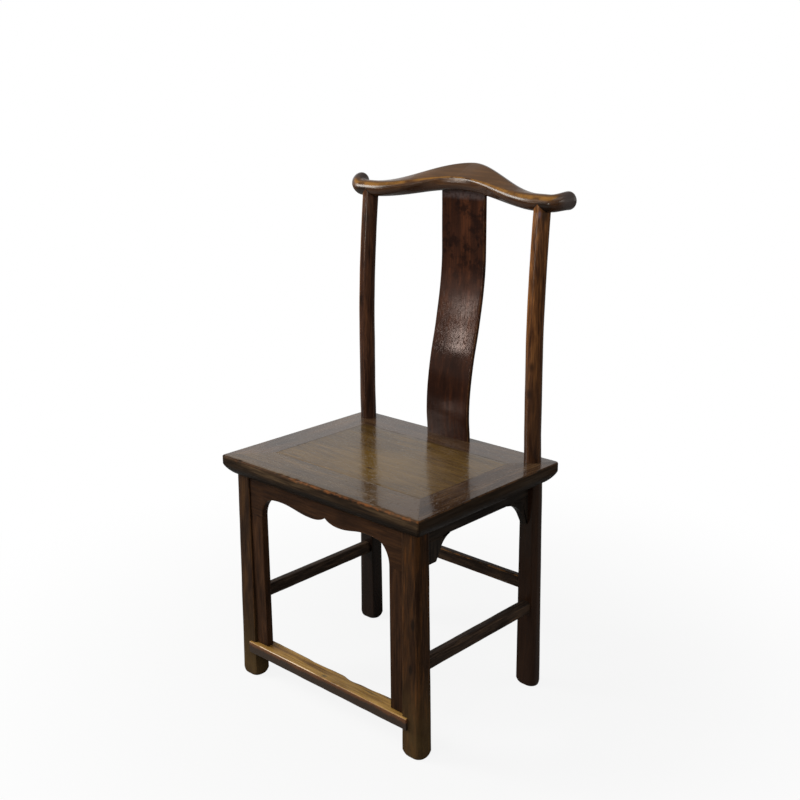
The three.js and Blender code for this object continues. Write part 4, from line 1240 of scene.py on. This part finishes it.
dust = times(grade(dust_height, *splat_dust_heights), grade(cloud(spot, 140), 0.3, 0.6, 0.35, 1.0))
stain(splat_wood, times(dust, grade(facing(splat_wood, (0, 1, 0)), -0.3, -0.7)), splat_dust, 0.6)
finish_piece(splat, splat_wood, "back_wood", "back_splat")

# Crest rail: carved from one thick piece, round where it sits on the posts, swelling to a raised pillow for
# the head, with ends that curl back. Hands keep it polished.
swell_reach = post_top_x - 11.6 * mm
pillow_point = 0.06
# The pillow's three cores: rise, distance back, radius and, for two of them, the power of their taper
belly = (22 * mm, 31.5 * mm, 16 * mm, 0.6)
ridge = (28.5 * mm, 22.5 * mm, 6 * mm)
top_edge = (48 * mm, 71 * mm, 9 * mm, 1.15)
curl_angle = math.radians(76)
# Each curl is a little different: where it starts, its radius, its rise and the radius of its tip
curls = {
    "right": (post_top_x + 17.4 * mm, 26.5 * mm, 5 * mm, 17 * mm),
    "left": (post_top_x + 19.4 * mm, 27.5 * mm, 11 * mm, 17 * mm),
}
tip_round = 11 * mm
crest_wobble = 0.4 * mm
crest_wobble_span = 60 * mm
crest_sides = 72
swell_steps = 80
curl_steps = 22
tip_steps = 9
crest_tones = tones((42, 25, 15), (58, 36, 19), (80, 52, 27))
# Painted light among the crest's colours: a lighter top, a partly painted gold under the ridge, a darker
# underside and grey tips.
crest_top_sheen = tone(96, 72, 50)
crest_worn = tone(110, 76, 40)
crest_underside_shade = tone(44, 26, 15)
crest_worn_and_lit_gold = tone(132, 92, 42)
# The crack in the front: where it starts and ends along X, with its fading
crest_crack = (-72 * mm, -60 * mm, -16 * mm, -4 * mm)
crest_tip_sheen = tone(66, 58, 55)
crest_tip_sheen_size = (28 * mm, 24 * mm, 24 * mm)
# Painted shade in the corner between a post and the crest: how far out and down it is, and half lengths
crest_corner_shade = (12 * mm, 7 * mm)
crest_corner_shade_size = (26 * mm, 22 * mm, 14 * mm)


def crest_section(share):
    """The outline that a band makes when drawn tight round three round cores."""
    full = ease(1 - share)

    def blunt(along):
        return math.hypot(along, pillow_point) - pillow_point

    taper = blunt(share) / blunt(1)
    cores = (
        (belly[1] * full ** belly[3], belly[0] * full, mix(crest_radius, belly[2], full)),
        (ridge[1] * full, ridge[0] * full, mix(crest_radius, ridge[2], full)),
        (top_edge[1] * (1 - taper) ** top_edge[3], top_edge[0] * full, mix(crest_radius, top_edge[2], full)),
    )
    points = []
    for k in range(crest_sides):
        angle = 2 * math.pi * k / crest_sides
        across, up = math.cos(angle), math.sin(angle)
        core = max(cores, key=lambda one: one[0] * across + one[1] * up + one[2])
        points.append((
            crest_middle_y + core[0] + core[2] * across, crest_middle_z + core[1] + core[2] * up,
        ))
    return points


def crest_half(curl_from, curl_radius, curl_rise, tip_radius):
    """The rings from the middle of the crest out to the rounded tip of the right curl."""
    rings = []
    for k in range(swell_steps + 1):
        share = k / swell_steps
        rings.append([(swell_reach * share, y, z) for y, z in crest_section(share)])
    for k in range(curl_steps + tip_steps + 1):
        share = min(1.0, k / curl_steps)
        over = max(0, k - curl_steps) / tip_steps * math.pi / 2
        angle = curl_angle * share
        radius = mix(crest_radius, tip_radius, share) - tip_round * (1 - math.cos(over))
        beyond = tip_round * math.sin(over)
        x = curl_from + curl_radius * math.sin(angle) + beyond * math.cos(angle)
        y = crest_middle_y + curl_radius * (1 - math.cos(angle)) + beyond * math.sin(angle)
        z = crest_middle_z + curl_rise * ease(share)
        ring = []
        for point in range(crest_sides):
            around = 2 * math.pi * point / crest_sides
            across = radius * math.cos(around)
            up = radius * math.sin(around)
            ring.append((x - across * math.sin(angle), y + across * math.cos(angle), z + up))
        rings.append(ring)
    return rings


right_half = crest_half(*curls["right"])
left_half = crest_half(*curls["left"])
crest = skin("crest_rail_wood", other_hand(reversed(left_half[1:]), -1) + right_half)
hand_worked(crest, crest_wobble, crest_wobble_span, 84.0)
crest_wood = old_wood("crest_finish", "x", crest_tones, crest_worn, 84.0, 0.18, 0.16, 200, 0.0, 0.2)


def faces_up_by(angle, spread):
    """A mask for what faces the front at an angle above the level, within a spread, both in degrees."""
    angle = math.radians(angle)
    squarely = facing(crest_wood, (0, -math.cos(angle), math.sin(angle)))
    return grade(squarely, math.cos(math.radians(spread)), 1.0)


spot = spot_on(crest_wood)
# Painted reflection: the top facet is painted lighter, as the ceiling's sheen on it.
stain(crest_wood, faces_up_by(75, 30), crest_top_sheen, 0.5)
# The golden band under the ridge is partly worn lacquer and partly a painted highlight.
stain(crest_wood, times(faces_up_by(38, 22), grade(cloud(spot, 30), 0.3, 0.55)), crest_worn_and_lit_gold, 0.75)
stain(crest_wood, times(faces_up_by(22, 9), plateau(part_of(spot, "X"), *crest_crack)), crest_tones[0])
# Painted shade: the faces that turn down are painted darker.
stain(crest_wood, grade(facing(crest_wood, (0, 0, 1)), 0.3, -0.5), crest_underside_shade, 0.85)
for hand, side in (("right", 1), ("left", -1)):
    curl_from, curl_radius, curl_rise, _ = curls[hand]
    # Painted sheen: a grey sheen on the tip of each curl.
    tip = (side * (curl_from + curl_radius), crest_middle_y + curl_radius / 2, crest_middle_z + curl_rise)
    dab(crest_wood, tip, crest_tip_sheen_size, crest_tip_sheen, 1.0, 0.55)
    # Painted shade in the corner under the crest beside each post.
    place = (side * (post_top_x + crest_corner_shade[0]), crest_low.y, crest_middle_z - crest_corner_shade[1])
    dab(crest_wood, place, crest_corner_shade_size, painted_shade_tone, 0.8, 0.4)
scribe_line(crest_wood, joint_dark)
finish_piece(crest, crest_wood, "back_wood", "crest_rail")
